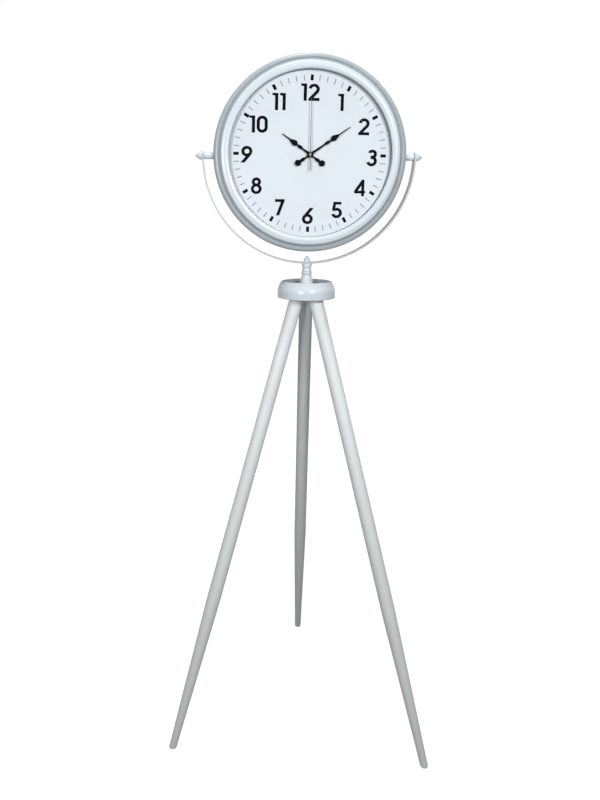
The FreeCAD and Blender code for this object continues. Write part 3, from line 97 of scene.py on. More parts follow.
# Colours of the dial, the glass and the movement's patterned pieces
SHEET = (0.755, 0.79, 0.85)
SHEET_DEEP = (0.74, 0.775, 0.84)
SHEET_FIBRE = (0.70, 0.735, 0.80)
GLASS_TINT = (0.985, 0.993, 0.992)
WIRE_GAP = (0.36, 0.13, 0.05)
WIRE = (0.72, 0.32, 0.14)
SLEEVE = (0.03, 0.032, 0.036)
SLEEVE_LIGHT = (0.05, 0.052, 0.058)
SLEEVE_BAND = (0.50, 0.30, 0.13)
SOLDER_MASK = (0.012, 0.11, 0.04)
TRACK = (0.03, 0.2, 0.075)


# Shader helpers

def new_look(name):
    look = bpy.data.materials.new(name)
    look.use_nodes = True
    return look, look.node_tree, look.node_tree.nodes["Principled BSDF"]


def bare_look(name):
    """A material with nothing in it but its output."""
    look, tree, _ = new_look(name)
    tree.nodes.clear()
    return look, tree, tree.nodes.new("ShaderNodeOutputMaterial")


def placed(tree, scale=(1.0, 1.0, 1.0), turn=(0.0, 0.0, 0.0), shift=(0.0, 0.0, 0.0)):
    """The piece's own coordinates, moved, turned and scaled."""
    coords = tree.nodes.new("ShaderNodeTexCoord")
    mapping = tree.nodes.new("ShaderNodeMapping")
    mapping.inputs["Location"].default_value = shift
    mapping.inputs["Rotation"].default_value = turn
    mapping.inputs["Scale"].default_value = scale
    tree.links.new(coords.outputs["Object"], mapping.inputs["Vector"])
    return mapping.outputs["Vector"]


def noise(tree, vector, scale, detail=3.0, roughness=0.5):
    node = tree.nodes.new("ShaderNodeTexNoise")
    node.inputs["Scale"].default_value = scale
    node.inputs["Detail"].default_value = detail
    node.inputs["Roughness"].default_value = roughness
    tree.links.new(vector, node.inputs["Vector"])
    return node.outputs["Fac"]


def spread(tree, value, low=0.0, high=1.0, start=0.3, end=0.7):
    """Maps a value between start and end onto low to high."""
    node = tree.nodes.new("ShaderNodeMapRange")
    node.inputs["From Min"].default_value = start
    node.inputs["From Max"].default_value = end
    node.inputs["To Min"].default_value = low
    node.inputs["To Max"].default_value = high
    tree.links.new(value, node.inputs["Value"])
    return node.outputs["Result"]


def combined(tree, operation, first, second):
    """One value from two, such as their product or the larger one."""
    node = tree.nodes.new("ShaderNodeMath")
    node.operation = operation
    tree.links.new(first, node.inputs[0])
    tree.links.new(second, node.inputs[1])
    return node.outputs[0]


def share_of(tree, vector, axis):
    """A vector's share along one axis."""
    node = tree.nodes.new("ShaderNodeSeparateXYZ")
    tree.links.new(vector, node.inputs["Vector"])
    return node.outputs[axis]


def length(tree, vector):
    node = tree.nodes.new("ShaderNodeVectorMath")
    node.operation = "LENGTH"
    tree.links.new(vector, node.inputs[0])
    return node.outputs["Value"]


def surface(tree, output):
    """A value of the surface itself, such as its plain normal."""
    return tree.nodes.new("ShaderNodeNewGeometry").outputs[output]


def mixed(tree, factor, first, second):
    """A colour between two, which are colours or colour sockets."""
    node = tree.nodes.new("ShaderNodeMix")
    node.data_type = "RGBA"
    tree.links.new(factor, node.inputs[0])
    for socket, colour in ((node.inputs[6], first), (node.inputs[7], second)):
        if isinstance(colour, tuple):
            socket.default_value = (*colour, 1.0)
        else:
            tree.links.new(colour, socket)
    return node.outputs[2]


def mixed_shaders(tree, factor, first, second):
    node = tree.nodes.new("ShaderNodeMixShader")
    tree.links.new(factor, node.inputs["Fac"])
    tree.links.new(first, node.inputs[1])
    tree.links.new(second, node.inputs[2])
    return node.outputs["Shader"]


def bumped(tree, height, depth, strength, under=None):
    """A normal from a height that is in units of depth metres."""
    node = tree.nodes.new("ShaderNodeBump")
    node.inputs["Strength"].default_value = strength
    node.inputs["Distance"].default_value = depth
    tree.links.new(height, node.inputs["Height"])
    if under is not None:
        tree.links.new(under, node.inputs["Normal"])
    return node.outputs["Normal"]


def soft_edge(tree, radius):
    """A normal that rounds sharp edges."""
    node = tree.nodes.new("ShaderNodeBevel")
    node.samples = EDGE_SAMPLES
    node.inputs["Radius"].default_value = radius
    return node.outputs["Normal"]


def edge_mask(tree, normal):
    """1 on sharp edges and 0 on flat ground, from a rounded normal."""
    dot = tree.nodes.new("ShaderNodeVectorMath")
    dot.operation = "DOT_PRODUCT"
    tree.links.new(surface(tree, "Normal"), dot.inputs[0])
    tree.links.new(normal, dot.inputs[1])
    return spread(tree, dot.outputs["Value"], 1.0, 0.0, start=EDGE_COSINE, end=FLAT_COSINE)


def worn(tree, rounded, scuff, most, full):
    """How far paint is rubbed off edges: most of it where the scuffing has come to full."""
    spots = spread(tree, scuff, 0.0, most, start=SCUFF_START, end=full)
    return combined(tree, "MULTIPLY", edge_mask(tree, rounded), spots)


def facing_up(tree, low, high):
    """Low on faces that look sideways and high on faces that look up."""
    rise = share_of(tree, surface(tree, "Normal"), "Z")
    return spread(tree, rise, low, high, start=SIDE_RISE, end=TOP_RISE)


def beyond(tree, radius, blur):
    """0 within a radius of the dial's axis and 1 beyond it."""
    flat = placed(tree, (1.0, 0.0, 1.0), shift=(-DIAL_CENTRE.x, 0.0, -DIAL_CENTRE.z))
    return spread(tree, length(tree, flat), start=radius, end=radius + blur)


def drive(tree, shader, colour, normal, roughness):
    """Gives a shader a colour, a normal and a roughness that change over the surface."""
    tree.links.new(colour, shader.inputs["Base Color"])
    tree.links.new(normal, shader.inputs["Normal"])
    tree.links.new(roughness, shader.inputs["Roughness"])


# Finishes

def enamel(name, colour, deep, edge, roughness, peel=260.0, specular=0.4, rim=None):
    """Sprayed satin enamel: faint drift of tone, orange peel and thin paint on edges.

    Peel is the scale of the orange peel. Rim is the paint and its edges beyond the bezel's ring.
    """
    look, tree, shader = new_look(name)
    drift = noise(tree, placed(tree), scale=9.0, detail=4.0)
    tone = mixed(tree, spread(tree, drift, start=0.35, end=0.65), colour, deep)
    if rim is not None:
        past = beyond(tree, RING_RADIUS, RIM_BLUR)
        tone = mixed(tree, past, tone, rim[0])
        edge = mixed(tree, past, edge, rim[1])
    rounded = soft_edge(tree, 0.0006)
    scuff = noise(tree, placed(tree), scale=420.0, detail=5.0, roughness=0.65)
    fine = noise(tree, placed(tree), scale=peel, detail=2.0)
    drive(
        tree, shader,
        colour=mixed(tree, worn(tree, rounded, scuff, most=0.8, full=0.62), tone, edge),
        normal=bumped(tree, fine, depth=0.00006, strength=0.6, under=rounded),
        roughness=spread(tree, scuff, roughness - 0.05, roughness + 0.07),
    )
    shader.inputs["Specular IOR Level"].default_value = specular
    return look


def painted_wood(name, colour, deep, edge, roughness, turn, painted_shade_low=None, top=None):
    """Brushed paint over close-grained wood: long grain, brush drift and small pores.

    Turn brings the grain upright. The lower colour is painted shade, darker towards the floor.
    The top colour is painted shade on faces that look up; there dust also takes the gloss away.
    """
    gloss = 0.35
    look, tree, shader = new_look(name)
    grain = noise(
        tree, placed(tree, (1.0, 1.0, 0.035), turn), scale=330.0, detail=4.0, roughness=0.6
    )
    drift = noise(tree, placed(tree, (1.0, 1.0, 0.15), turn), scale=28.0, detail=4.0)
    pores = noise(tree, placed(tree, (1.0, 1.0, 0.2), turn), scale=900.0, detail=2.0)
    tone = mixed(tree, spread(tree, drift), colour, deep)
    tone = mixed(tree, spread(tree, grain, 0.0, 0.35, start=0.5, end=0.75), tone, deep)
    # Painted shade: the colour darkens from a height down to the floor
    if painted_shade_low is not None:
        height = share_of(tree, placed(tree), "Z")
        painted_low_shade = spread(tree, height, 1.0, 0.0, start=0.0, end=PAINTED_SHADE_START_HEIGHT)
        tone = mixed(tree, painted_low_shade, tone, painted_shade_low)
    shader.inputs["Specular IOR Level"].default_value = gloss
    # Painted shade: faces that look up take the darker top colour, and lose their gloss
    if top is not None:
        tone = mixed(tree, facing_up(tree, 0.0, 1.0), tone, top)
        tree.links.new(facing_up(tree, gloss, 0.0), shader.inputs["Specular IOR Level"])
    rounded = soft_edge(tree, 0.0008)
    scuff = noise(tree, placed(tree), scale=300.0, detail=5.0, roughness=0.65)
    ground = bumped(tree, grain, depth=0.00012, strength=0.55, under=rounded)
    drive(
        tree, shader,
        colour=mixed(tree, worn(tree, rounded, scuff, most=0.9, full=0.6), tone, edge),
        normal=bumped(tree, pores, depth=0.00005, strength=0.5, under=ground),
        roughness=spread(tree, grain, roughness - 0.05, roughness + 0.08),
    )
    return look


def moulded(name, colour, deep, roughness, grain=1400.0, specular=0.45):
    """Moulded plastic, rubber, board or ink: a fine even grain and a faint drift of tone."""
    look, tree, shader = new_look(name)
    drift = noise(tree, placed(tree), scale=60.0, detail=4.0)
    fine = noise(tree, placed(tree), scale=grain)
    drive(
        tree, shader,
        colour=mixed(tree, spread(tree, drift), colour, deep),
        normal=bumped(tree, fine, depth=0.00005, strength=0.5, under=soft_edge(tree, 0.0003)),
        roughness=spread(tree, fine, roughness - 0.06, roughness + 0.08),
    )
    shader.inputs["Specular IOR Level"].default_value = specular
    return look


def metal(name, colour, deep, roughness, brushing=(1.0, 1.0, 1.0)):
    """Bare or plated metal with fine tool marks, drawn out where brushing is small."""
    look, tree, shader = new_look(name)
    marks = noise(tree, placed(tree, brushing), scale=900.0, detail=4.0, roughness=0.6)
    drive(
        tree, shader,
        colour=mixed(tree, spread(tree, marks), colour, deep),
        normal=bumped(tree, marks, depth=0.00003, strength=0.4, under=soft_edge(tree, 0.0002)),
        roughness=spread(tree, marks, roughness - 0.06, roughness + 0.1),
    )
    shader.inputs["Metallic"].default_value = 1.0
    return look


def printed_sheet():
    """The dial's matt white sheet with a faint fibre."""
    look, tree, shader = new_look("dial_white")
    fibre = noise(
        tree, placed(tree, (1.0, 1.0, 0.4)), scale=520.0, detail=5.0, roughness=0.65
    )
    drift = noise(tree, placed(tree), scale=6.0, detail=2.0)
    tone = mixed(tree, spread(tree, drift), SHEET, SHEET_DEEP)
    drive(
        tree, shader,
        colour=mixed(tree, spread(tree, fibre, 0.0, 0.3), tone, SHEET_FIBRE),
        normal=bumped(tree, fibre, depth=0.00003, strength=0.4),
        roughness=spread(tree, fibre, 0.5, 0.62),
    )
    shader.inputs["Specular IOR Level"].default_value = 0.3
    return look


def clear_glass():
    """Flat clear glass: its outer sides mirror a little, and more when seen along the pane."""
    look, tree, out = bare_look("glass")
    through = tree.nodes.new("ShaderNodeBsdfTransparent")
    through.inputs["Color"].default_value = (*GLASS_TINT, 1.0)
    mirror = tree.nodes.new("ShaderNodeBsdfGlossy")
    smear = noise(tree, placed(tree), scale=18.0, detail=4.0)
    tree.links.new(spread(tree, smear, 0.02, 0.06), mirror.inputs["Roughness"])
    fresnel = tree.nodes.new("ShaderNodeFresnel")
    fresnel.inputs["IOR"].default_value = 1.03
    outside = spread(tree, surface(tree, "Backfacing"), 1.0, 0.0, start=0.0, end=1.0)
    share = combined(tree, "MULTIPLY", fresnel.outputs["Fac"], outside)
    pane = mixed_shaders(tree, share, through.outputs["BSDF"], mirror.outputs["BSDF"])
    tree.links.new(pane, out.inputs["Surface"])
    return look


def wound_copper():
    """Enamelled wire wound in close turns round an upright bobbin."""
    look, tree, shader = new_look("copper")
    wave = tree.nodes.new("ShaderNodeTexWave")
    wave.wave_type = "BANDS"
    wave.bands_direction = "Z"
    wave.inputs["Scale"].default_value = 520.0
    wave.inputs["Distortion"].default_value = 0.6
    tree.links.new(placed(tree), wave.inputs["Vector"])
    turns = wave.outputs["Fac"]
    drive(
        tree, shader,
        colour=mixed(tree, turns, WIRE_GAP, WIRE),
        normal=bumped(tree, turns, depth=0.0001, strength=0.8),
        roughness=spread(tree, turns, 0.42, 0.28, start=0.0, end=1.0),
    )
    shader.inputs["Metallic"].default_value = 0.85
    return look


def wrapped_cell(low, high):
    """A plain battery sleeve with a coppery band at its positive end."""
    sleeve_share = 0.72
    band_start = low.x + (high.x - low.x) * sleeve_share
    band_blur = 0.0003
    look, tree, shader = new_look("battery_wrap")
    along = share_of(tree, placed(tree), "X")
    band = spread(tree, along, start=band_start, end=band_start + band_blur)
    drift = noise(tree, placed(tree), scale=120.0, detail=4.0)
    sleeve = mixed(tree, spread(tree, drift), SLEEVE, SLEEVE_LIGHT)
    drive(
        tree, shader,
        colour=mixed(tree, band, sleeve, SLEEVE_BAND),
        normal=bumped(tree, drift, depth=0.00004, strength=0.4, under=soft_edge(tree, 0.0004)),
        roughness=spread(tree, drift, 0.28, 0.4),
    )
    return look


def circuit_mask():
    """Green solder mask with faint square tracks."""
    look, tree, shader = new_look("circuit")
    cells = tree.nodes.new("ShaderNodeTexVoronoi")
    cells.distance = "MANHATTAN"
    cells.inputs["Scale"].default_value = 420.0
    tree.links.new(placed(tree), cells.inputs["Vector"])
    tracks = spread(tree, cells.outputs["Distance"], 1.0, 0.0, start=0.28, end=0.34)
    drive(
        tree, shader,
        colour=mixed(tree, tracks, SOLDER_MASK, TRACK),
        normal=bumped(tree, tracks, depth=0.00004, strength=0.6),
        roughness=spread(tree, tracks, 0.3, 0.4, start=0.0, end=1.0),
    )
    return look


def leg_look(node):
    """Paint whose grain runs along one leg."""
    low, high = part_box(node)
    foot = Vector((
        (low.x + high.x) / 2 - SPINDLE_X,
        (low.y + high.y) / 2 - SPINDLE_Y,
        0.0,
    )).normalized()
    corners = [(x, y) for x in (low.x, high.x) for y in (low.y, high.y)]
    outward = max(math.hypot(x - SPINDLE_X, y - SPINDLE_Y) for x, y in corners)
    line = Vector((foot.x * outward, foot.y * outward, low.z - high.z)).normalized()
    upright = tuple(line.rotation_difference(Vector((0.0, 0.0, -1.0))).to_euler())
    name = node.replace("leg_", "leg_paint_")
    return painted_wood(name, LEG, LEG_DEEP, WOOD_EDGE, 0.45, upright, painted_shade_low=LEG_LOW_PAINTED_SHADE)


# Each finish's name, main colour, second colour, edge colour of a paint, and roughness
case_paint = enamel("case_paint", CASE, CASE_DEEP, CASE_EDGE, 0.36)
bezel_paint = enamel("bezel_paint", CASE, CASE_DEEP, CASE_EDGE, 0.3, rim=(RIM, RIM_EDGE))
back_paint = enamel("back_paint", RIM, RIM_DEEP, RIM_EDGE, 0.46, peel=700.0, specular=0.35)
post_paint = enamel("post_paint", POST, POST_DEEP, CASE_EDGE, 0.36)
yoke_paint = enamel("yoke_paint", YOKE, YOKE_DEEP, YOKE_EDGE, 0.4)
hand_black = enamel("hand_black", HAND, HAND_DEEP, HAND_EDGE, 0.55, peel=500.0, specular=0.03)
GRAIN_ACROSS = (0.0, 1.57, 0.0)
hub_paint = painted_wood("hub_paint", HUB, HUB_DEEP, WOOD_EDGE, 0.2, GRAIN_ACROSS, top=HUB_TOP_PAINTED_SHADE)

steel = metal("steel", (0.60, 0.61, 0.63), (0.46, 0.47, 0.49), 0.34)
aluminium = metal(
    "aluminium", (0.74, 0.75, 0.77), (0.62, 0.63, 0.65), 0.3, brushing=(1.0, 0.05, 1.0)
)
brass = metal("brass", (0.74, 0.56, 0.27), (0.60, 0.43, 0.19), 0.3)
contact_metal = metal("contact_metal", (0.70, 0.69, 0.66), (0.58, 0.57, 0.55), 0.28)

hand_grey = moulded("hand_grey", (0.13, 0.14, 0.15), (0.10, 0.11, 0.12), 0.4)
# The spacer ring is real plastic; its dark grey is painted shade for the recess inside the
# bezel's lip
ring_plastic = moulded("ring_plastic", (0.20, 0.218, 0.235), (0.187, 0.205, 0.222), 0.5)
black_plastic = moulded("black_plastic", (0.022, 0.022, 0.024), (0.032, 0.032, 0.034), 0.48)
wheel_plastic = moulded("wheel_plastic", (0.78, 0.765, 0.70), (0.72, 0.705, 0.64), 0.45)
rubber = moulded(
    "rubber", (0.018, 0.018, 0.018), (0.028, 0.027, 0.026), 0.8, grain=900.0, specular=0.25
)
board = moulded(
    "board", (0.36, 0.245, 0.145), (0.27, 0.18, 0.10), 0.7, grain=700.0, specular=0.25
)
ink_black = moulded(
    "ink_black", (0.004, 0.005, 0.007), (0.006, 0.007, 0.009), 0.7, grain=1600.0, specular=0.03
)
ink_grey = moulded(
    "ink_grey", (0.22, 0.235, 0.255), (0.27, 0.285, 0.305), 0.6, grain=1600.0, specular=0.15
)

LOOKS = {
    hub_paint: ["hub"],
    case_paint: [
        "pivot_post_left", "pivot_post_right", "pivot_finial_left", "pivot_finial_right",
    ],
    post_paint: ["spindle", "spindle_finial"],
    yoke_paint: ["yoke"],
    bezel_paint: ["bezel"],
    back_paint: ["case_band", "back_cover"],
    steel: [
        "leg_studs", "centre_stud", "pivot_bolt_left", "pivot_bolt_right", "pivot_block_left",
        "pivot_block_right", "bezel_screws", "back_screws", "dial_screws", "stator",
    ],
    aluminium: ["dial_pillars"],
    brass: ["leg_inserts", "hub_insert", "brass_washer", "shaft_nut"],
    clear_glass(): ["glass"],
    ring_plastic: ["spacer_ring"],
    printed_sheet(): ["dial_sheet"],
    board: ["dial_board"],
    black_plastic: ["movement_shell", "movement_cover"],
    rubber: ["rubber_washer"],
    wrapped_cell(*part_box("battery")): ["battery"],
    contact_metal: ["battery_contacts"],
    wound_copper(): ["coil"],
    circuit_mask(): ["circuit_board"],
    wheel_plastic: [
        "rotor", "fifth_wheel", "second_wheel", "third_wheel", "centre_wheel", "motion_wheel",
        "hour_wheel", "setting_knob",
    ],
    hand_black: ["hour_hand", "minute_hand"],
    hand_grey: ["second_hand"],
}


def wear(node, look):
    mesh = nodes[node].data
    mesh.materials.clear()
    mesh.materials.append(look)


for look, names in LOOKS.items():
    for node in names:
        wear(node, look)
for node in ("leg_front_left", "leg_front_right", "leg_back"):
    wear(node, leg_look(node))


# Printing on the dial: x is to the right and z is up, as seen from the front

INK = 0.00008
PRINT_TURN = 0.5
NUMBER_HEIGHT = 0.034
NUMBER_WIDTH = 0.0214
NUMBER_STRETCH = 1.07
DIGIT_GAP = 0.003
STROKE = 0.0061
HALF = NUMBER_HEIGHT / 2
WIDE = NUMBER_WIDTH / 2
ARC_STEP = 6.0
MARK_INNER = 0.1476
MARK_OUTER = 0.1589
HOUR_MARK_WIDTH = 0.0062
MINUTE_MARK_WIDTH = 0.0018
NUMBER_PLACES = {
    1: (0.0606, 0.1055), 2: (0.1104, 0.058), 3: (0.1295, -0.0045),
    4: (0.1071, -0.066), 5: (0.0604, -0.1124), 6: (-0.0003, -0.1258),
    7: (-0.0602, -0.1086), 8: (-0.1099, -0.065), 9: (-0.1315, -0.0015),
    10: (-0.1078, 0.0592), 11: (-0.0666, 0.1046), 12: (-0.0029, 0.1242),
}


def arc(centre, radius, start, end):
    """Points on a circle from one angle to another, in degrees from +x towards +z."""
    count = max(2, int(abs(end - start) / ARC_STEP))
    points = []
    for step in range(count + 1):
        turn = math.radians(start + (end - start) * step / count)
        points.append((
            centre[0] + radius * math.cos(turn),
            centre[1] + radius * math.sin(turn),
        ))
    return points


def circle(centre, radius):
    return arc(centre, radius, 0, 360 - ARC_STEP)


def meeting(first, first_radius, second, second_radius):
    """The angles, seen from each of two circles' centres, of their right-hand crossing."""
    across = math.hypot(second[0] - first[0], second[1] - first[1])
    along = (across**2 + first_radius**2 - second_radius**2) / (2 * across)
    away = math.sqrt(first_radius**2 - along**2)
    line = ((second[0] - first[0]) / across, (second[1] - first[1]) / across)
    x = first[0] + line[0] * along + line[1] * away
    z = first[1] + line[1] * along - line[0] * away
    return [math.degrees(math.atan2(z - c[1], x - c[0])) for c in (first, second)]


def zero():
    reach = HALF - WIDE
    return [
        arc((0, reach), radius, 0, 180) + arc((0, -reach), radius, 180, 360)
        for radius in (WIDE, WIDE - STROKE)
    ]


def one():
    right = 0.0057
    left = right - STROKE
    flag = -0.0057
    flag_end = HALF - 0.0043
    flag_root = HALF - 0.0054
    return [[
        (right, -HALF), (right, HALF), (flag, HALF), (flag, flag_end), (left, flag_root),
        (left, -HALF),
    ]]


def two():
    lean = 42.0
    tip = 172.0
    centre = (0, HALF - WIDE)
    inner = WIDE - STROKE
    base = STROKE - HALF
    turn = math.radians(lean)
    down = (-math.sin(turn), -math.cos(turn))
    outer_start = (WIDE * math.cos(turn), centre[1] - WIDE * math.sin(turn))
    run = (base - outer_start[1]) / down[1]
    heel = (outer_start[0] + run * down[0], base)
    inner_start = (inner * math.cos(turn), centre[1] - inner * math.sin(turn))
    run = (-WIDE - inner_start[0]) / down[0]
    toe = (-WIDE, inner_start[1] + run * down[1])
    foot = [heel, (WIDE, base), (WIDE, -HALF), (-WIDE, -HALF), toe]
    return [arc(centre, WIDE, tip, -lean) + foot + arc(centre, inner, -lean, tip)]


def three():
    top_radius = 0.0092
    low_radius = 0.0106
    top = (0.001, HALF - top_radius)
    low = (0.0, low_radius - HALF)
    top_tip = 158.0
    low_tip = -164.0
    bar = -0.0022
    low_angle, top_angle = meeting(low, low_radius, top, top_radius)
    outline = arc(top, top_radius, top_tip, top_angle) + arc(low, low_radius, low_angle, low_tip)
    outline += arc(low, low_radius - STROKE, low_tip, 90)
    outline += [(bar, low[1] + low_radius - STROKE), (bar, top[1] - top_radius + STROKE)]
    return [outline + arc(top, top_radius - STROKE, -90, top_tip)]


def four():
    stem_left, stem_right = 0.0030, 0.0088
    bar_low, bar_top = 0.0055 - HALF, 0.0111 - HALF
    left, right = -0.0108, 0.0107
    shoulder = stem_left + 0.0005
    outline = [
        (stem_right, -HALF), (stem_right, bar_low), (right, bar_low), (right, bar_top),
        (stem_right, bar_top), (stem_right, HALF), (shoulder, HALF), (left, bar_top),
        (left, bar_low), (stem_left, bar_low), (stem_left, -HALF),
    ]
    slope = (HALF - bar_top) / (shoulder - left)
    inner_left = left + STROKE * math.sqrt(1 + slope**2) / slope
    apex = bar_top + (stem_left - inner_left) * slope
    return [outline, [(inner_left, bar_top), (stem_left, bar_top), (stem_left, apex)]]


def five():
    radius = 0.0109
    centre = (0, radius - HALF)
    bar = 0.0057
    left, right = -0.0066, 0.0088
    inner_left = left + 0.005
    lean = 0.144
    joint = -0.0027
    corner = -0.001
    tip = -162.0
    inner_end = 132.0
    start = math.degrees(math.acos(joint / radius))
    outline = [(left, HALF), (right, HALF), (right, HALF - bar), (inner_left, HALF - bar)]
    outline += arc(centre, radius, start, tip) + arc(centre, radius - STROKE, tip, inner_end)
    return [outline + [(left - lean * (HALF - corner), corner)]]


def six():
    radius = 0.0108
    centre = (0, radius - HALF)
    touch = 142.0
    turn = math.radians(touch)
    rise = (math.sin(turn), -math.cos(turn))
    start = (radius * math.cos(turn), centre[1] + radius * math.sin(turn))
    run = (HALF - start[1]) / rise[1]
    tip = (start[0] + run * rise[0], HALF)
    far = (tip[0] + STROKE / rise[1], HALF)
    offset = (far[0] - centre[0], far[1] - centre[1])
    along = offset[0] * rise[0] + offset[1] * rise[1]
    reach = along - math.sqrt(along**2 - (offset[0] ** 2 + offset[1] ** 2 - radius**2))
    hit = (far[0] - rise[0] * reach, far[1] - rise[1] * reach)
    end = math.degrees(math.atan2(hit[1] - centre[1], hit[0] - centre[0]))
    outline = arc(centre, radius, touch, 360 + end) + [far, tip]
    return [outline, circle(centre, radius - STROKE)]


def seven():
    left, right = -0.0092, 0.0096
    foot = -0.0068
    width = 0.0065
    drop = 0.004
    slope = (right - foot - width) / (NUMBER_HEIGHT - drop)
    inner = foot + slope * (NUMBER_HEIGHT - STROKE)
    return [[
        (left, HALF), (right, HALF), (right, HALF - drop), (foot + width, -HALF), (foot, -HALF),
        (inner, HALF - STROKE), (left, HALF - STROKE),
    ]]


def eight():
    top_radius = 0.0091
    low_radius = 0.0106
    wall = STROKE * 0.96
    top = (0, HALF - top_radius)
    low = (0, low_radius - HALF)
    low_angle, top_angle = meeting(low, low_radius, top, top_radius)
    outline = arc(top, top_radius, top_angle, 180 - top_angle)
    outline += arc(low, low_radius, 180 - low_angle, 360 + low_angle)
    return [outline, circle(top, top_radius - wall), circle(low, low_radius - wall)]


def nine():
    return [[(-x, -z) for x, z in loop] for loop in six()]


DIGITS = [zero, one, two, three, four, five, six, seven, eight, nine]


def number_loops(number):
    """The outlines of a number, centred on its own middle."""
    loops = []
    pen = 0.0
    for letter in str(number):
        digit = DIGITS[int(letter)]()
        left = min(x for loop in digit for x, _ in loop)
        right = max(x for loop in digit for x, _ in loop)
        loops += [[(x - left + pen, z) for x, z in loop] for loop in digit]
        pen += right - left + DIGIT_GAP
    middle = (pen - DIGIT_GAP) / 2
    return [[((x - middle) * NUMBER_STRETCH, z) for x, z in loop] for loop in loops]


def bar_on_dial(turn, width):
    """The outline of a straight mark that points to the dial's centre."""
    angle = math.radians(turn)
    out = (math.sin(angle), math.cos(angle))
    side = (out[1] * width / 2, -out[0] * width / 2)
    return [
        (out[0] * MARK_INNER - side[0], out[1] * MARK_INNER - side[1]),
        (out[0] * MARK_OUTER - side[0], out[1] * MARK_OUTER - side[1]),
        (out[0] * MARK_OUTER + side[0], out[1] * MARK_OUTER + side[1]),
        (out[0] * MARK_INNER + side[0], out[1] * MARK_INNER + side[1]),
    ]


def printed(name, loops, look):
    """A thin layer of ink on the dial, filled inside its outlines."""
    curve = bpy.data.curves.new(name + "_outline", "CURVE")
    curve.dimensions = "2D"
    curve.fill_mode = "BOTH"
    curve.extrude = INK / 2
    for loop in loops:
        spline = curve.splines.new("POLY")
        spline.points.add(len(loop) - 1)
        for point, (x, z) in zip(spline.points, loop):
            point.co = (x, z, 0.0, 1.0)
        spline.use_cyclic_u = True
    shape = bpy.data.objects.new(name + "_outline", curve)
    bpy.context.scene.collection.objects.link(shape)
    bpy.context.view_layer.update()
    solid = shape.evaluated_get(bpy.context.evaluated_depsgraph_get())
    mesh = bpy.data.meshes.new_from_object(solid)
    bpy.data.objects.remove(shape)
    upright = Matrix.Rotation(math.radians(90), 4, "X")
    turned = Matrix.Rotation(math.radians(-PRINT_TURN), 4, "Z")
    onto_dial = Matrix.Translation(DIAL_CENTRE - Vector((0.0, INK / 2, 0.0)))
    mesh.transform(onto_dial @ upright @ turned)
    mesh.name = name
    mesh.materials.clear()
    mesh.materials.append(look)
    piece = bpy.data.objects.new(name, mesh)
    bpy.context.scene.collection.objects.link(piece)
    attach(piece, "head")


numbers = []
for number, (x, z) in NUMBER_PLACES.items():
    numbers += [[(x + px, z + pz) for px, pz in loop] for loop in number_loops(number)]
hour_marks = [bar_on_dial(30.0 * hour, HOUR_MARK_WIDTH) for hour in range(12)]
minute_marks = [bar_on_dial(6.0 * step, MINUTE_MARK_WIDTH) for step in range(60) if step % 5]
printed("dial_numbers", numbers, ink_black)
printed("dial_hour_marks", hour_marks, ink_black)
printed("dial_minute_marks", minute_marks, ink_grey)


# Floor, light and camera

FLOOR_HALF = 12.0
FLOOR_COLOUR = (0.25, 0.255, 0.26)
# The floor's own white, by the distance from the spindle's axis: less of it in the light's pool
FLOOR_WHITE_NEAR, FLOOR_WHITE_FAR = 0.9, 1.0
FLOOR_NEAR, FLOOR_FAR = 0.6, 3.0
ROOM_COLOUR = (0.93, 0.97, 1.0)
ROOM_FILL = 0.15
WHITE = (1.0, 1.0, 1.0)
AIM = Vector((SPINDLE_X, SPINDLE_Y, 1.1))

# The photograph's viewpoint: lengths in pixels of a picture of 600 by 800, angles in degrees, and
# the eye's place in metres from the foot of the spindle's axis
PICTURE_WIDTH, PICTURE_HEIGHT = 600, 800
FOCAL = 680.2
MIDDLE_X, MIDDLE_Y = 240.0, 320.0
YAW, PITCH, ROLL = -1.95, -9.48, -0.36
EYE = (-0.1918, -1.4508, 1.1765)
SENSOR = 36.0
CLIP_START, CLIP_END = 0.05, 100.0


def background_rays(tree):
    """1 for the rays that show the background: from the camera, mirrored or through glass."""
    path = tree.nodes.new("ShaderNodeLightPath")
    total = path.outputs["Is Camera Ray"]
    for kind in ("Is Glossy Ray", "Is Transmission Ray"):
        total = combined(tree, "MAXIMUM", total, path.outputs[kind])
    return total


def white_floor():
    """A floor that takes shadows and shows as white."""
    look, tree, out = bare_look("floor")
    ground = tree.nodes.new("ShaderNodeBsdfDiffuse")
    ground.inputs["Color"].default_value = (*FLOOR_COLOUR, 1.0)
    glow = tree.nodes.new("ShaderNodeEmission")
    away = length(tree, placed(tree, shift=(-SPINDLE_X, -SPINDLE_Y, 0.0)))
    white = spread(tree, away, FLOOR_WHITE_NEAR, FLOOR_WHITE_FAR, start=FLOOR_NEAR, end=FLOOR_FAR)
    lift = combined(tree, "MULTIPLY", background_rays(tree), white)
    tree.links.new(lift, glow.inputs["Strength"])
    both = tree.nodes.new("ShaderNodeAddShader")
    tree.links.new(ground.outputs["BSDF"], both.inputs[0])
    tree.links.new(glow.outputs["Emission"], both.inputs[1])
    tree.links.new(both.outputs["Shader"], out.inputs["Surface"])
    return look


def floor():
    half = FLOOR_HALF
    corners = [(-half, -half, 0.0), (half, -half, 0.0), (half, half, 0.0), (-half, half, 0.0)]
    mesh = bpy.data.meshes.new("floor")
    mesh.from_pydata(corners, [], [(0, 1, 2, 3)])
    mesh.materials.append(white_floor())
    piece = bpy.data.objects.new("floor", mesh)
    bpy.context.scene.collection.objects.link(piece)


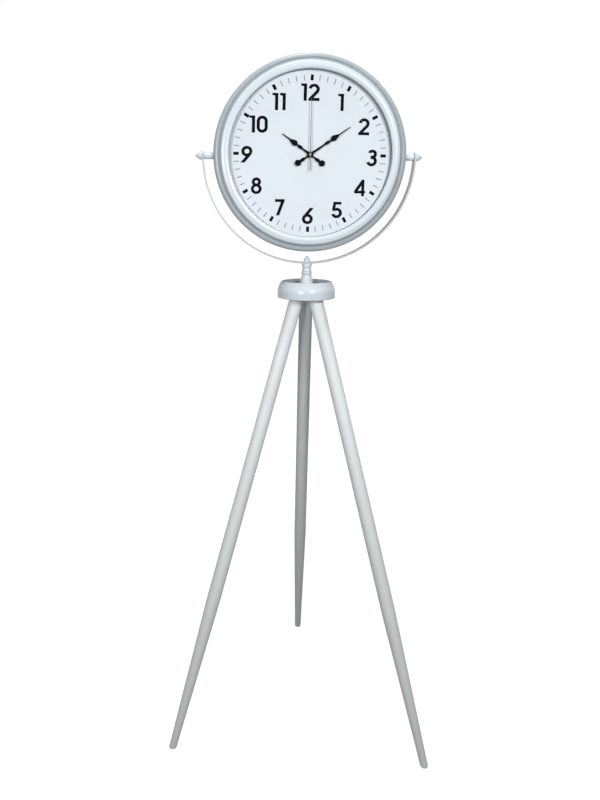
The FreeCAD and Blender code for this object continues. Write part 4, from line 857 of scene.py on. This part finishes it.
def room_light():
    """A dim room that shows as white."""
    world = bpy.data.worlds.new("room")
    world.use_nodes = True
    tree = world.node_tree
    tree.nodes.clear()
    out = tree.nodes.new("ShaderNodeOutputWorld")
    dim = tree.nodes.new("ShaderNodeBackground")
    dim.inputs["Color"].default_value = (*ROOM_COLOUR, 1.0)
    dim.inputs["Strength"].default_value = ROOM_FILL
    white = tree.nodes.new("ShaderNodeBackground")
    white.inputs["Color"].default_value = (*WHITE, 1.0)
    seen = background_rays(tree)
    room = mixed_shaders(tree, seen, dim.outputs["Background"], white.outputs["Background"])
    tree.links.new(room, out.inputs["Surface"])
    bpy.context.scene.world = world


def softbox(name, azimuth, distance, height, size, power):
    """A square soft light. Azimuth 0 is in front of the dial, and to the right is positive."""
    turn = math.radians(azimuth)
    data = bpy.data.lights.new(name, "AREA")
    data.shape = "SQUARE"
    data.size = size
    data.energy = power
    lamp = bpy.data.objects.new(name, data)
    lamp.location = (
        SPINDLE_X + distance * math.sin(turn),
        SPINDLE_Y - distance * math.cos(turn),
        height,
    )
    lamp.rotation_mode = "QUATERNION"
    lamp.rotation_quaternion = (AIM - lamp.location).to_track_quat("-Z", "Y")
    bpy.context.scene.collection.objects.link(lamp)
    return lamp


def camera():
    yaw = Matrix.Rotation(math.radians(YAW), 3, "Z")
    pitch = Matrix.Rotation(math.radians(PITCH), 3, "X")
    roll = Matrix.Rotation(math.radians(ROLL), 3, "Y")
    level = Matrix.Rotation(math.radians(90), 3, "X")
    place = Matrix.Translation((SPINDLE_X + EYE[0], SPINDLE_Y + EYE[1], EYE[2]))
    data = bpy.data.cameras.new("camera")
    data.sensor_width = SENSOR
    data.lens = FOCAL * SENSOR / PICTURE_HEIGHT
    data.shift_x = (PICTURE_WIDTH / 2 - MIDDLE_X) / PICTURE_HEIGHT
    data.shift_y = (MIDDLE_Y - PICTURE_HEIGHT / 2) / PICTURE_HEIGHT
    data.clip_start = CLIP_START
    data.clip_end = CLIP_END
    eye = bpy.data.objects.new("camera", data)
    eye.matrix_world = place @ (yaw @ pitch @ roll @ level).to_4x4()
    bpy.context.scene.collection.objects.link(eye)
    bpy.context.scene.camera = eye


floor()
room_light()
softbox("key_right", azimuth=19.0, distance=2.0, height=1.7, size=0.4, power=22.0)
softbox("key_left", azimuth=-28.0, distance=2.0, height=1.35, size=0.4, power=19.0)
softbox("top", azimuth=0.0, distance=0.14, height=2.9, size=0.45, power=18.0)
back_light = softbox("back", azimuth=180.0, distance=2.4, height=1.1, size=0.5, power=12.0)
back_light.visible_glossy = False
camera()
bpy.context.scene.view_settings.view_transform = "Standard"
